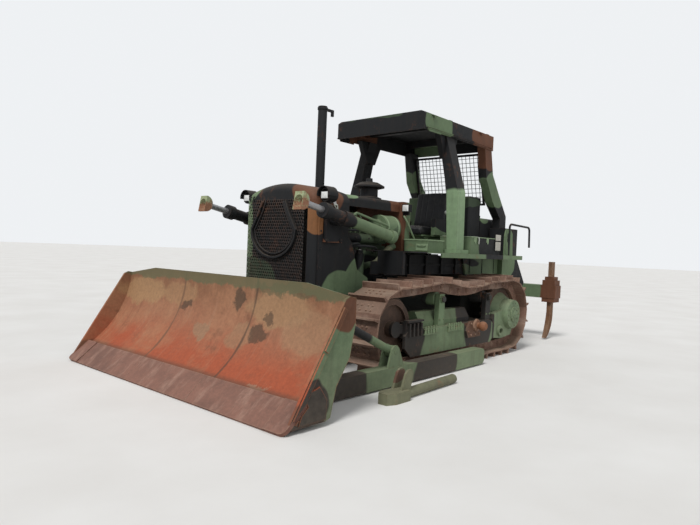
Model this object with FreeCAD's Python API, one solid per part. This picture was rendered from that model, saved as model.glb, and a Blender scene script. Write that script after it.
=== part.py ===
import FreeCAD, Part
import math
import os

# A medium military crawler dozer with a straight blade, canopy and three-shank ripper, in millimetres.
# The blade with its push arms lies on the ground in front, uncoupled, and the lift cylinders point forward.
# x runs forward, y to the left and z up. Inside this script x = 0 is the sprocket axle and z = 0 the ground.

V = FreeCAD.Vector

# Whole machine
track_gauge = 1980.0       # between the centre lines of the tracks

# Tracks
shoe_count = 38
shoe_width = 508.0
shoe_plate = 16.0
shoe_gap = 10.0
grouser_height = 65.0
grouser_tip = 20.0
grouser_foot = 38.0
pin_to_shoe = 54.0         # from the pin line out to the inner face of a shoe
pin_to_rail = 55.0         # from the pin line in to the rail that the rollers run on
link_width = 46.0
link_spread = 150.0        # between the centre lines of a track's two rows of links
sprocket_pitch_radius = 434.0
sprocket_teeth = 25
sprocket_width = 76.0
tooth_height = 34.0
idler_x = 2718.0
idler_pitch_radius = 405.0
idler_width = 96.0
idler_hub = 119.0          # half the length of the idler's hub
carrier_xs = (1800.0, 600.0)
carrier_lift = 66.0        # how far the pin line stands above the idler's top over the carrier rollers
span_sags = (14.0, 78.0, 12.0)
carrier_radius = 84.0
carrier_length = 170.0
roller_radius = 104.0
roller_length = 236.0
roller_first_x = 640.0
roller_pitch = 322.0
roller_count = 6

# Track frames
guard_thickness = 34.0
guard_bottom = 214.0
guard_top = 520.0
frame_rear_x = 520.0
frame_front_x = 2610.0
frame_outer_y = 1196.0
frame_inner_y = 786.0
recoil_x0 = 1000.0
recoil_x1 = 2180.0
recoil_height = 178.0
recoil_slope = 70.0

# Final drives
drive_cap_radius = 205.0
drive_cap_face_y = 1262.0
drive_body_radius = 300.0
drive_body_y = 1130.0
drive_eye_x = 300.0
drive_eye_z = 345.0

# Push-arm trunnions
trunnion_x = 1050.0
trunnion_z = 480.0
trunnion_ball = 62.0
trunnion_face_y = 1392.0

# Hull between the tracks
hull_half = 470.0
hull_front_x = 2940.0
hull_bottom = 430.0
hull_top = 1010.0
case_rear_x = -560.0
case_half = 690.0
case_top = 1120.0

# Radiator guard
guard_front_x = 3500.0
guard_half = 575.0
guard_base_z = 700.0
guard_corner_z = 2010.0
guard_crown_z = 2135.0
guard_back_x = 2940.0
guard_wall = 22.0
guard_corner_round = 95.0
grille_half = 470.0
grille_recess = 92.0
grille_sheet = 8.0
grille_base_z = 780.0
grille_top_z = 1930.0
grille_slot_rows = 19
grille_slot_height = 26.0

# Hood and dash
hood_half = 405.0
hood_top_z = 2070.0
hood_edge_z = 1930.0
hood_sheet = 10.0
hood_round = 60.0
dash_x0 = 1560.0
dash_x1 = 1740.0
dash_half = 455.0

engine_half = 230.0

# Platform
deck_z = 1420.0
deck_plate = 14.0
fender_half = 1100.0
fender_rear_x = -560.0
fender_front_x = 2440.0
lip_front_x = 1760.0
lip_height = 62.0

# Roll-over frame and canopy
post_front_x = 1100.0
post_half = 812.0
post_depth = 190.0
post_width = 150.0
post_rear_width = 130.0
rear_box_top = 1840.0
screen_foot = 0.285        # share of the rear posts' height at which the wire screen starts
canopy_front_x = 1750.0
canopy_rear_x = -120.0
canopy_half = 748.0
canopy_top_z = 3235.0
canopy_depth = 240.0
canopy_sheet = 12.0
canopy_chamfer = 60.0
screen_bar = 30.0

# Exhaust and air intake
stack_x = 2800.0
stack_y = -50.0
stack_radius = 56.0
stack_top_z = 3150.0
intake_x = 1960.0
intake_y = 50.0

# Lift cylinders
lift_y = 800.0
lift_pivot_x = 3250.0
lift_pivot_z = 1740.0
lift_angle = 10.8
lift_bore_radius = 66.0
lift_rear = 850.0          # barrel behind its trunnion
lift_front = 375.0         # barrel ahead of its trunnion
lift_rod_radius = 34.0
lift_reach = 722.0         # from the trunnion to the ball socket, as it stands
lift_retract = 150.0       # what the rod can still draw in
lift_pin_radius = 38.0
fit_gap = 0.4

# Blade
blade_half = 1830.0
edge_tip_x = 4990.0
edge_length = 300.0
edge_angle = 40.0
edge_plate = 26.0
edge_back_set = 44.0       # from the cutting tip to the moldboard's foot
end_bit_width = 232.0
end_bit_plate = 36.0
board_top_x = 4270.0
board_top_z = 1100.0
board_plate = 16.0
board_bulge = 130.0
corner_drop = 85.0
corner_run = 560.0
end_plate = 26.0
foot_depth = 200.0         # from the seam back to the back of the moldboard's foot
arm_lug_length = 110.0

# Push arms
arm_outer_y = 1420.0
arm_width = 148.0
arm_height = 195.0
arm_bottom = 20.0
arm_rear_x = 1150.0
arm_pivot_x = 1262.0
arm_pivot_z = 117.0
arm_socket_depth = 90.0
arm_front_x = 4490.0
brace_radius = 42.0
brace_pin_radius = 24.0
brace_foot_x = 3070.0
brace_foot_z = 372.0
brace_head_x = 4185.0
brace_head_z = 868.0

# Ripper
beam_x0 = -2120.0
beam_x1 = -1880.0
beam_z0 = 710.0
beam_z1 = 930.0
beam_half = 1130.0
shank_ys = (-1000.0, 0.0, 1000.0)
shank_top_z = 1340.0
shank_thickness = 70.0
shank_width = 112.0
link_pin_x = -960.0
link_pin_z = 560.0
link_length = 800.0
link_rise = 6.0            # degrees that the links stand above level
link_stand_x = 60.0        # from the lower pins to the upper pins
link_stand_z = 420.0
link_y = 480.0
link_thickness = 60.0
ripper_pin_radius = 32.0
ripper_cyl_y = 250.0
ripper_head_x = -780.0
ripper_head_z = 1330.0
ripper_eye_x = -1700.0
ripper_eye_z = 750.0
ripper_bore_radius = 60.0
ripper_rod_radius = 30.0
ripper_barrel_length = 640.0
shank_x0 = (beam_x0 + beam_x1) / 2 - shank_width / 2

# The machine's middle, halfway between the end bits' front and the ripper beam's back
middle_x = (edge_tip_x + end_bit_plate * math.sin(math.radians(edge_angle)) + beam_x0) / 2


def block(x0, x1, y0, y1, z0, z1):
    return Part.makeBox(x1 - x0, y1 - y0, z1 - z0, V(x0, y0, z0))


def rod(start, end, radius):
    start, end = V(*start), V(*end)
    along = end - start
    return Part.makeCylinder(radius, along.Length, start, along)


def across(x, z, y0, y1, radius):
    # A round bar along y.
    return Part.makeCylinder(radius, y1 - y0, V(x, y0, z), V(0, 1, 0))


def wire_xz(points, y):
    corners = [V(x, y, z) for x, z in points]
    return Part.makePolygon(corners + corners[:1])


def slab_y(points, y0, y1):
    # A plate cut to an outline of (x, z) points, from y0 to y1.
    return Part.Face(wire_xz(points, y0)).extrude(V(0, y1 - y0, 0))


def slab_x(points, x0, x1):
    corners = [V(x0, y, z) for y, z in points]
    return Part.Face(Part.makePolygon(corners + corners[:1])).extrude(V(x1 - x0, 0, 0))


def slab_z(points, z0, z1):
    corners = [V(x, y, z0) for x, y in points]
    return Part.Face(Part.makePolygon(corners + corners[:1])).extrude(V(0, 0, z1 - z0))


def joined(pieces):
    whole = pieces[0].multiFuse(pieces[1:]) if len(pieces) > 1 else pieces[0]
    return whole.removeSplitter()


def opposite(shape):
    return shape.mirror(V(0, 0, 0), V(0, 1, 0))


def both(shape):
    return [shape, opposite(shape)]


def turned(points, angle, cx, cz):
    # Points (x, z) turned upward from +x toward +z about (cx, cz).
    c, s = math.cos(math.radians(angle)), math.sin(math.radians(angle))
    return [(cx + x * c - z * s, cz + x * s + z * c) for x, z in points]


def tube_along(points, radius, bend):
    # A pipe along straight runs joined by tangent arcs of one bend radius.
    corners = [V(*p) for p in points]
    edges = []
    start = corners[0]
    for before, corner, after in zip(corners, corners[1:], corners[2:]):
        back = (before - corner).normalize()
        on = (after - corner).normalize()
        half = back.getAngle(on) / 2
        trim = bend / math.tan(half)
        first = corner + back * trim
        last = corner + on * trim
        middle_dir = (back + on).normalize()
        middle = corner + middle_dir * (bend / math.sin(half) - bend)
        edges.append(Part.makeLine(start, first))
        edges.append(Part.Arc(first, middle, last).toShape())
        start = last
    edges.append(Part.makeLine(start, corners[-1]))
    path = Part.Wire(edges)
    section = Part.Wire(Part.makeCircle(radius, corners[0], corners[1] - corners[0]))
    return path.makePipeShell([section], True, False)


def write(name, pieces):
    # Moves the pieces so that the machine's middle stands at x = 0 and writes them as one file.
    moved = []
    for piece in pieces:
        for solid in piece.Solids:
            copy = solid.copy()
            copy.translate(V(-middle_x, 0, 0))
            moved.append(copy)
    shape = moved[0] if len(moved) == 1 else Part.makeCompound(moved)
    shape.exportStep("parts/" + name + ".step")
    print(name, "solids", len(moved), "volume", round(shape.Volume / 1e9, 5), "valid", shape.isValid())


# Track path
pin_ground = pin_to_shoe + shoe_plate + grouser_height
sprocket_z = pin_ground + sprocket_pitch_radius
idler_z = pin_ground + idler_pitch_radius
track_y = track_gauge / 2
carrier_z = idler_z + idler_pitch_radius + carrier_lift


def span(x0, z0, x1, z1, sag, steps):
    # A hanging stretch of the top run, without its last point.
    for i in range(steps):
        t = i / steps
        yield x0 + (x1 - x0) * t, z0 + (z1 - z0) * t - 4 * sag * t * (1 - t)


def arc_points(cx, cz, radius, start, end, steps):
    for i in range(steps):
        a = math.radians(start + (end - start) * i / steps)
        yield cx + radius * math.cos(a), cz + radius * math.sin(a)


def track_path():
    # The pin line as a closed loop: forward along the ground, round the idler, back over the carrier
    # rollers and down round the sprocket.
    idler_top = (idler_x, idler_z + idler_pitch_radius)
    sprocket_top = (0.0, sprocket_z + sprocket_pitch_radius)
    supports = [idler_top, (carrier_xs[0], carrier_z), (carrier_xs[1], carrier_z - 20), sprocket_top]
    points = [(0.0, pin_ground)]
    points += arc_points(idler_x, idler_z, idler_pitch_radius, -90, 90, 60)
    for (x0, z0), (x1, z1), sag in zip(supports, supports[1:], span_sags):
        points += span(x0, z0, x1, z1, sag, 24)
    points += arc_points(0.0, sprocket_z, sprocket_pitch_radius, 90, 270, 60)
    return points


def pins_on(path, count):
    # Pins at equal steps along the closed path.
    ring = path + path[:1]
    lengths = [math.dist(a, b) for a, b in zip(ring, ring[1:])]
    step = sum(lengths) / count
    pins = []
    walked = 0.0
    want = step / 2
    for a, b, length in zip(ring, ring[1:], lengths):
        while want <= walked + length and len(pins) < count:
            t = (want - walked) / length
            pins.append((a[0] + (b[0] - a[0]) * t, a[1] + (b[1] - a[1]) * t))
            want += step
        walked += length
    return pins


def link_point(a, b, along, out):
    # A point beside the link from pin a to pin b: a distance along it and a distance outward.
    length = math.dist(a, b)
    tx, tz = (b[0] - a[0]) / length, (b[1] - a[1]) / length
    return a[0] + tx * along + tz * out, a[1] + tz * along - tx * out


def corner_out(a, b, c, out):
    # The point at pin b, outward by a distance, halfway between its two links.
    first, last = math.dist(a, b), math.dist(b, c)
    nx = (b[1] - a[1]) / first + (c[1] - b[1]) / last
    nz = -(b[0] - a[0]) / first - (c[0] - b[0]) / last
    size = math.hypot(nx, nz)
    return b[0] + nx / size * out, b[1] + nz / size * out


def ring_of(pins, out):
    count = len(pins)
    return [corner_out(pins[i - 1], pins[i], pins[(i + 1) % count], out) for i in range(count)]


def loop_solid(outer, inner, y0, y1):
    face = Part.Face([wire_xz(outer, y0), wire_xz(inner, y0)])
    if not face.isValid():
        face.validate()
    return face.extrude(V(0, y1 - y0, 0))


pins = pins_on(track_path(), shoe_count)
link_pitch = math.dist(pins[0], pins[1])


def make_track():
    plate_out = pin_to_shoe + shoe_plate
    tip_out = plate_out + grouser_height
    outer = []
    for i, a in enumerate(pins):
        b = pins[(i + 1) % shoe_count]
        pitch = math.dist(a, b)
        outer.append(link_point(a, b, shoe_gap, plate_out))
        outer.append(link_point(a, b, pitch - shoe_gap - grouser_foot, plate_out))
        outer.append(link_point(a, b, pitch - shoe_gap - grouser_tip, tip_out))
        outer.append(link_point(a, b, pitch - shoe_gap, tip_out))
        outer.append(link_point(a, b, pitch - shoe_gap, plate_out - shoe_plate / 2))
    shoes = loop_solid(outer, ring_of(pins, pin_to_shoe), track_y - shoe_width / 2, track_y + shoe_width / 2)
    rails = []
    for side in (-1, 1):
        y = track_y + side * link_spread / 2
        rail = loop_solid(ring_of(pins, pin_to_shoe + 4), ring_of(pins, -pin_to_rail),
                          y - link_width / 2, y + link_width / 2)
        rails.append(rail)
    return shoes.multiFuse(rails)


def make_sprocket():
    outline = []
    tooth_root = sprocket_pitch_radius - 24
    step = 360.0 / sprocket_teeth
    for i in range(sprocket_teeth):
        for share, radius in ((-0.3, tooth_root), (-0.13, tooth_root + tooth_height),
                              (0.13, tooth_root + tooth_height), (0.3, tooth_root)):
            a = math.radians((i + share) * step)
            outline.append((radius * math.cos(a), sprocket_z + radius * math.sin(a)))
    gap = (link_spread - link_width) / 2
    half = min(sprocket_width / 2, gap - 4)
    rim = slab_y(outline, track_y - half, track_y + half)
    bore = across(0, sprocket_z, track_y - half - 1, track_y + half + 1, tooth_root - 110)
    return rim.cut(bore)


def make_idler():
    half = min(idler_width / 2, (link_spread - link_width) / 2 - 4)
    half_link = math.asin(link_pitch / 2 / idler_pitch_radius)
    tread = idler_pitch_radius * math.cos(half_link) - pin_to_rail - fit_gap
    rim = across(idler_x, idler_z, track_y - link_spread / 2 - 24, track_y + link_spread / 2 + 24, tread)
    flange = across(idler_x, idler_z, track_y - half, track_y + half, tread + 40)
    dish = across(idler_x, idler_z, track_y + link_spread / 2 - 24, track_y + link_spread / 2 + 30, tread - 60)
    back_dish = across(idler_x, idler_z, track_y - link_spread / 2 - 30, track_y - link_spread / 2 + 24, tread - 60)
    hub = across(idler_x, idler_z, track_y - idler_hub, track_y + idler_hub, 88)
    return joined([rim.fuse(flange).cut(dish).cut(back_dish), hub])


def make_rollers():
    # Bottom and carrier rollers of the left track.
    rollers = []
    rail_top = pin_ground + pin_to_rail
    for i in range(roller_count):
        x = roller_first_x + i * roller_pitch
        z = rail_top + roller_radius + fit_gap
        roller = across(x, z, track_y - roller_length / 2, track_y + roller_length / 2, roller_radius)
        shaft = across(x, z, frame_inner_y + guard_thickness + fit_gap, frame_outer_y - guard_thickness - fit_gap, 42)
        rollers.append(joined([roller, shaft]))
    return rollers


def make_carriers():
    # Carrier rollers on posts that stand on the frame's top.
    pieces = []
    for i, x in enumerate(carrier_xs):
        z = carrier_z - 20 * i - pin_to_rail - carrier_radius - 24
        roller = across(x, z, track_y - carrier_length / 2, track_y + carrier_length / 2, carrier_radius)
        stub = across(x, z, track_y, frame_outer_y - 20, 46)
        post = slab_y([(x - 75, guard_top), (x + 75, guard_top), (x + 62, z - 60), (x + 52, z + 62),
                       (x - 52, z + 62), (x - 62, z - 60)], frame_outer_y - 104, frame_outer_y - 40)
        pieces.append(joined([roller, stub, post]))
    return pieces


def make_track_frame():
    # The roller frame: two guard plates, a top, the recoil spring housing, the ribbed guide box at the
    # idler's fork and the trunnion of the push arm.
    y0, y1 = frame_inner_y, frame_outer_y
    outline = [(frame_rear_x, guard_bottom + 40), (frame_rear_x + 60, guard_bottom),
               (frame_front_x - 120, guard_bottom), (frame_front_x, guard_bottom + 110),
               (frame_front_x, guard_top - 60), (frame_front_x - 60, guard_top),
               (frame_rear_x + 60, guard_top), (frame_rear_x, guard_top - 50)]
    outer = slab_y(outline, y1 - guard_thickness, y1)
    inner = slab_y(outline, y0, y0 + guard_thickness)
    roof_bottom = pin_ground + pin_to_rail + 2 * roller_radius + 12
    roof = block(frame_rear_x + 60, frame_front_x - 330, y0, y1, roof_bottom, guard_top)
    recoil_top = guard_top + recoil_height
    section = [(y0 + 70, guard_top), (y1 - 110, guard_top), (y1 - 110, guard_top + 60),
               (y1 - 110 - recoil_slope, recoil_top), (y0 + 70 + recoil_slope, recoil_top),
               (y0 + 70, guard_top + 60)]
    recoil = slab_x(section, recoil_x0, recoil_x1)
    nose = block(frame_front_x - 330, frame_front_x - 20, y1 - 100, y1 - 10, guard_top - 90, guard_top + 96)
    inner_nose = block(frame_front_x - 330, frame_front_x - 20, y0 + 10, y0 + 60, guard_top - 90, guard_top + 40)
    arms = []
    for arm_y0, arm_y1 in ((track_y + idler_hub + fit_gap, frame_outer_y - 50),
                           (frame_inner_y + 40, track_y - idler_hub - fit_gap)):
        arm = block(frame_front_x - 330, idler_x, arm_y0, arm_y1, idler_z - 52, idler_z + 52)
        arms.append(arm.fuse(across(idler_x, idler_z, arm_y0, arm_y1, 92)))
    return joined([outer, inner, roof, recoil, nose, inner_nose, make_trunnion()] + arms + make_guide_box())


def make_guide_box():
    # The ribbed box at the idler's fork, on the frame's front.
    y1 = frame_outer_y - 10
    x0, x1 = frame_front_x - 330, frame_front_x - 20
    pieces = []
    for i in range(4):
        x = x0 + 20 + i * 78
        pieces.append(block(x, x + 24, y1, y1 + 36, guard_top - 70, guard_top + 80))
    pieces.append(block(x0, x1, y1 - 40, y1 + 36, guard_top + 96, guard_top + 118))
    return pieces


def make_final_drive():
    # The sloping housing over the final gears, its round cap and the lower bracket with its eye.
    face = drive_body_y
    inner = track_y + sprocket_width / 2 + fit_gap
    rear_body = Part.makeCone(drive_body_radius, drive_body_radius - 70, face - inner,
                              V(0, inner, sprocket_z), V(0, 1, 0))
    cap = Part.makeCone(drive_cap_radius + 18, drive_cap_radius, drive_cap_face_y - face,
                        V(0, face, sprocket_z), V(0, 1, 0))
    hub = across(0, sprocket_z, drive_cap_face_y, drive_cap_face_y + 16, 108)
    front = frame_rear_x - 6
    bracket = slab_y([(-150, sprocket_z - 150), (-60, 262), (240, 232), (front, 262), (front, sprocket_z - 40),
                      (front - 60, sprocket_z + 34), (240, sprocket_z + 60), (0, sprocket_z + 120)],
                     face - 18, face + 62)
    eye = across(drive_eye_x, drive_eye_z, face - 18, face + 96, 74)
    slot = joined([across(drive_eye_x - 16, drive_eye_z, face - 30, face + 110, 36),
                   across(drive_eye_x + 16, drive_eye_z, face - 30, face + 110, 36)])
    return joined([rear_body, cap, hub, bracket, eye]).cut(slot)


def make_trunnion():
    # The bare ball that a push arm's socket goes on, with its bolted foot.
    neck = rod((trunnion_x, frame_outer_y, trunnion_z), (trunnion_x, trunnion_face_y - 60, trunnion_z), 44)
    ball = Part.makeSphere(trunnion_ball, V(trunnion_x, trunnion_face_y - trunnion_ball, trunnion_z))
    ball = ball.cut(block(trunnion_x - 200, trunnion_x + 200, trunnion_face_y - 14, trunnion_face_y + 200,
                          trunnion_z - 200, trunnion_z + 200))
    foot = slab_y([(trunnion_x - 130, trunnion_z - 150), (trunnion_x + 210, trunnion_z - 150),
                   (trunnion_x + 240, trunnion_z - 60), (trunnion_x + 150, trunnion_z + 60),
                   (trunnion_x - 100, trunnion_z + 60)], frame_outer_y, frame_outer_y + 34)
    return joined([neck, ball, foot])


def make_hull():
    # Engine rails, belly and the case of the steering clutches and final drives.
    rails = block(520, hull_front_x, -hull_half + 100, hull_half - 100, hull_bottom, hull_top)
    trough = block(760, hull_front_x - 60, -hull_half + 150, hull_half - 150, hull_bottom + 60, hull_top + 10)
    nose = slab_y([(hull_front_x, hull_bottom), (guard_front_x - 60, guard_base_z - 60),
                   (guard_front_x - 60, guard_base_z), (hull_front_x, guard_base_z)],
                  -hull_half + 100, hull_half - 100)
    case = slab_y([(case_rear_x, hull_bottom), (560, hull_bottom - 40), (560, case_top - 100),
                   (440, case_top), (case_rear_x, case_top)], -case_half, case_half)
    axle_end = track_y + sprocket_width / 2 + fit_gap
    axle = across(0, sprocket_z, -axle_end, axle_end, 215)
    bar = block(2060, 2240, -frame_inner_y, frame_inner_y, guard_top - 120, guard_top + 60)
    return joined([rails.cut(trough), nose, case, axle, bar])


def make_radiator_guard():
    # A hollow housing with rounded front columns, open at the front for the grille.
    def housing(inset, x0, x1, bottom):
        h = guard_half - inset
        corner = guard_corner_z - inset
        crown = guard_crown_z - inset
        left = V(x0, h, corner - 70)
        path = [Part.makeLine(V(x0, h, bottom), left),
                Part.Arc(left, V(x0, h - 22, corner - 8), V(x0, h - 90, corner + 44)).toShape(),
                Part.Arc(V(x0, h - 90, corner + 44), V(x0, 0, crown), V(x0, 90 - h, corner + 44)).toShape(),
                Part.Arc(V(x0, 90 - h, corner + 44), V(x0, 22 - h, corner - 8), V(x0, -h, corner - 70)).toShape(),
                Part.makeLine(V(x0, -h, corner - 70), V(x0, -h, bottom)),
                Part.makeLine(V(x0, -h, bottom), V(x0, h, bottom))]
        return Part.Face(Part.Wire(path)).extrude(V(x1 - x0, 0, 0))

    outer = housing(0, guard_back_x, guard_front_x, guard_base_z)
    fronts = [e for e in outer.Edges
              if abs(e.CenterOfMass.x - guard_front_x) < 1 and e.CenterOfMass.z > guard_base_z + 10]
    outer = outer.makeFillet(guard_corner_round, fronts)
    inner = housing(guard_wall, guard_back_x - 1, guard_front_x - grille_recess - 40, guard_base_z + guard_wall)
    mouth = joined([
        block(guard_front_x - grille_recess - 50, guard_front_x + 1, -grille_half, grille_half,
              grille_base_z, grille_top_z - 90),
        block(guard_front_x - grille_recess - 50, guard_front_x + 1, -grille_half + 90, grille_half - 90,
              grille_base_z, grille_top_z)])
    side = slab_y([(guard_back_x, guard_base_z), (guard_back_x, 1560), (guard_back_x - 60, 1500),
                   (2760, 1180), (2560, 1080), (2540, 960), (2560, guard_base_z + 60), (2640, guard_base_z)],
                  guard_half - 22, guard_half)
    strip = block(guard_front_x - 120, guard_front_x - 60, guard_half, guard_half + 18, guard_base_z, 1880)
    return joined([outer.cut(inner).cut(mouth)] + both(side) + both(strip))


def make_grille():
    # A recessed sheet with rows of slots and a raised rim bent like a U.
    x1 = guard_front_x - grille_recess
    sheet = block(x1 - grille_sheet, x1, -grille_half + fit_gap, grille_half - fit_gap,
                  grille_base_z + fit_gap, grille_top_z - 90 - fit_gap)
    rows = []
    pitch = (grille_top_z - 90 - grille_base_z - 80) / grille_slot_rows
    for i in range(grille_slot_rows):
        z = grille_base_z + 50 + i * pitch
        for y0, y1 in ((-grille_half + 40, -20), (20, grille_half - 40)):
            rows.append(block(x1 - grille_sheet - 1, x1 + 1, y0, y1, z, z + grille_slot_height))
    sheet = sheet.cut(Part.makeCompound(rows))

    def u_shape(half, bottom, top, x0, x2):
        low = bottom + half * 0.9
        wire = Part.Wire([
            Part.makeLine(V(x0, half * 0.9, top), V(x0, half, low)),
            Part.Arc(V(x0, half, low), V(x0, 0, bottom), V(x0, -half, low)).toShape(),
            Part.makeLine(V(x0, -half, low), V(x0, -half * 0.9, top)),
            Part.makeLine(V(x0, -half * 0.9, top), V(x0, half * 0.9, top))])
        return Part.Face(wire).extrude(V(x2 - x0, 0, 0))

    rim = u_shape(330, 1120, grille_top_z - 130, x1, x1 + 34).cut(u_shape(302, 1148, grille_top_z - 100, x1 - 1, x1 + 40))
    return [sheet.fuse(rim)]


def make_hood():
    # The sheet over the engine, with rounded long edges.
    def arch(inset, x0, x1, bottom):
        h, top, r = hood_half - inset, hood_top_z - inset, hood_round - inset
        c = r * (1 - math.sqrt(0.5))
        wire = Part.Wire([
            Part.makeLine(V(x0, h, bottom), V(x0, h, top - r)),
            Part.Arc(V(x0, h, top - r), V(x0, h - c, top - c), V(x0, h - r, top)).toShape(),
            Part.makeLine(V(x0, h - r, top), V(x0, r - h, top)),
            Part.Arc(V(x0, r - h, top), V(x0, c - h, top - c), V(x0, -h, top - r)).toShape(),
            Part.makeLine(V(x0, -h, top - r), V(x0, -h, bottom)),
            Part.makeLine(V(x0, -h, bottom), V(x0, h, bottom))])
        return Part.Face(wire).extrude(V(x1 - x0, 0, 0))

    sheet = arch(0, dash_x1, guard_back_x, hood_edge_z)
    sheet = sheet.cut(arch(hood_sheet, dash_x1 - 1, guard_back_x + 1, hood_edge_z - 1))
    holes = [Part.makeCylinder(stack_radius + 10, 200, V(stack_x, stack_y, hood_top_z - 100)),
             Part.makeCylinder(110, 200, V(intake_x, intake_y, hood_top_z - 100))]
    return [sheet.cut(Part.makeCompound(holes))]


def make_engine():
    # Block, head and valve covers, open to view on both sides.
    block_part = block(1800, 2860, -engine_half, engine_half, 900, 1480)
    head = block(1830, 2840, -200, 200, 1480, 1640)
    pieces = [block_part, head]
    for i in range(2):
        x = 1850 + i * 500
        pieces.append(slab_x([(-120, 1640), (120, 1640), (90, 1760), (-90, 1760)], x, x + 460))
    pan = slab_y([(1850, 900), (2820, 900), (2820, 720), (2300, 660), (1850, 660)], -180, 180)
    fan_hub = rod((2860, 0, 1420), (2930, 0, 1420), 120)
    for x in (1900, 2640):
        feet = block(x, x + 100, -hull_half + 105, hull_half - 105, hull_top + fit_gap, hull_top + 60)
        pieces.append(feet)
    return [joined(pieces + [pan, fan_hub])]


def make_engine_dress():
    # The manifold, turbocharger drum, filters and pipes on the engine's sides.
    pieces = []
    manifold = rod((1900, 285, 1560), (2780, 285, 1560), 58)
    ports = [rod((1960 + i * 250, 200, 1560), (1960 + i * 250, 290, 1560), 40) for i in range(4)]
    drum = rod((1880, 380, 1700), (2180, 380, 1700), 165)
    throat = rod((2180, 380, 1700), (2240, 380, 1700), 110)
    riser = tube_along([(2700, 285, 1560), (2700, 285, 1700), (2700, 100, 1840)], 48, 60)
    pieces.append(joined([manifold, drum, throat, riser] + ports))
    side = engine_half + fit_gap
    for x in (2440, 2620):
        pieces.append(Part.makeCylinder(62, 250, V(x, 330, 1120)).fuse(block(x - 70, x + 70, side, 372, 1370, 1410)))
    pipe = tube_along([(1830, 390, 1476), (1960, 412, 1440), (2210, 412, 1250), (2260, side + 15.8, 1205)], 42, 60)
    pieces.append(pipe)
    pump = block(2060, 2300, -380, -side, 1060, 1300)
    pieces.append(joined([pump, rod((2300, -310, 1180), (2420, -310, 1180), 70)]))
    pieces.append(rod((1900, -engine_half - 70 - fit_gap, 1400), (2700, -engine_half - 70 - fit_gap, 1400), 70))
    return pieces


def make_exhaust():
    tube = Part.makeCylinder(stack_radius, stack_top_z - hood_top_z + 120, V(stack_x, stack_y, hood_top_z - 120))
    bore = Part.makeCylinder(stack_radius - 6, 400, V(stack_x, stack_y, stack_top_z - 380))
    collar = Part.makeCylinder(stack_radius + 8, 26, V(stack_x, stack_y, stack_top_z - 40))
    hook = joined([block(stack_x - 190, stack_x - stack_radius + 4, stack_y - 14, stack_y + 14,
                         stack_top_z - 40, stack_top_z - 10),
                   block(stack_x - 190, stack_x - 160, stack_y - 14, stack_y + 14,
                         stack_top_z - 90, stack_top_z - 10)])
    flange = Part.makeCylinder(stack_radius + 44, 12, V(stack_x, stack_y, hood_top_z + fit_gap))
    return [joined([tube, collar, hook, flange]).cut(bore)]


def make_intake():
    # The pre-cleaner: a neck, a wide brim and a domed cap.
    profile = [(0, hood_top_z - 40), (104, hood_top_z - 40), (104, hood_top_z), (168, hood_top_z + 6),
               (168, hood_top_z + 34), (118, hood_top_z + 52), (118, hood_top_z + 150), (204, hood_top_z + 172),
               (204, hood_top_z + 192), (120, hood_top_z + 238), (46, hood_top_z + 250),
               (40, hood_top_z + 296), (0, hood_top_z + 296)]
    corners = [V(intake_x + r, intake_y, z) for r, z in profile]
    face = Part.Face(Part.makePolygon(corners + corners[:1]))
    return [face.revolve(V(intake_x, intake_y, 0), V(0, 0, 1), 360)]


def make_dash():
    # The cowl between hood and platform, with its instrument face.
    cowl = slab_y([(dash_x1, deck_z), (dash_x1, hood_top_z - 4), (dash_x0 + 20, hood_top_z - 4),
                   (dash_x0, hood_top_z - 60), (dash_x0, deck_z)], -dash_half, dash_half)
    face = slab_y([(dash_x0, hood_top_z - 80), (dash_x0 - 90, hood_top_z - 180),
                   (dash_x0 - 90, hood_top_z - 330), (dash_x0, hood_top_z - 380)], -300, 300)
    return [joined([cowl, face])]


def make_platform():
    # The floor between the fenders and the fenders over the tracks.
    floor = block(fender_rear_x, dash_x1, -700, 700, deck_z - deck_plate, deck_z)
    pieces = [floor]
    for side in (-1, 1):
        y0, y1 = sorted((side * 460, side * fender_half))
        pieces.append(block(fender_rear_x, fender_front_x, y0, y1, deck_z - deck_plate, deck_z))
        y0, y1 = sorted((side * (fender_half - 20), side * fender_half))
        pieces.append(block(fender_rear_x, lip_front_x, y0, y1, deck_z - lip_height, deck_z))
        y0, y1 = sorted((side * 620, side * 1000))
        pieces.append(block(fender_front_x - 40, fender_front_x, y0, y1, deck_z - 280, deck_z))
        y0, y1 = sorted((side * case_half, side * (case_half - 30)))
        pieces.append(slab_y([(fender_rear_x, case_top), (440, case_top), (560, deck_z - 10),
                              (fender_rear_x, deck_z - 10)], y0, y1))
    return [joined(pieces)]


def make_side_boxes():
    # The boxes beside and under the seat, and the low box ahead of the fender.
    pieces = []
    for side in (-1, 1):
        y0, y1 = sorted((side * 470, side * 960))
        pieces.append(block(-60, 820, y0, y1, deck_z, deck_z + 230))
        y0, y1 = sorted((side * 480, side * 700))
        pieces.append(block(2000, 2400, y0, y1, deck_z - 300, deck_z - 140))
    return pieces


def make_seat_base():
    foot = block(420, 900, -250, 250, deck_z, deck_z + 230)
    pan = block(400, 960, -270, 270, deck_z + 230, deck_z + 250)
    arms = [block(380, 880, y, y + 70, deck_z + 250, deck_z + 480) for y in (-420, 350)]
    brackets = [block(500, 760, y, y + 90, deck_z + 230, deck_z + 252) for y in (-350, 262)]
    return [joined([foot, pan] + arms + brackets)]


def make_seat_cushion():
    seat = deck_z + 250 + fit_gap
    return [slab_y([(430, seat), (990, seat), (1010, seat + 68), (960, seat + 120), (430, seat + 100)], -250, 250)]


def make_seat_back():
    x = 430 - fit_gap
    return [slab_y([(x, deck_z + 300), (x, deck_z + 420), (345, deck_z + 900), (250, deck_z + 915),
                    (235, deck_z + 860), (330, deck_z + 300)], -270, 270)]


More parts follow.
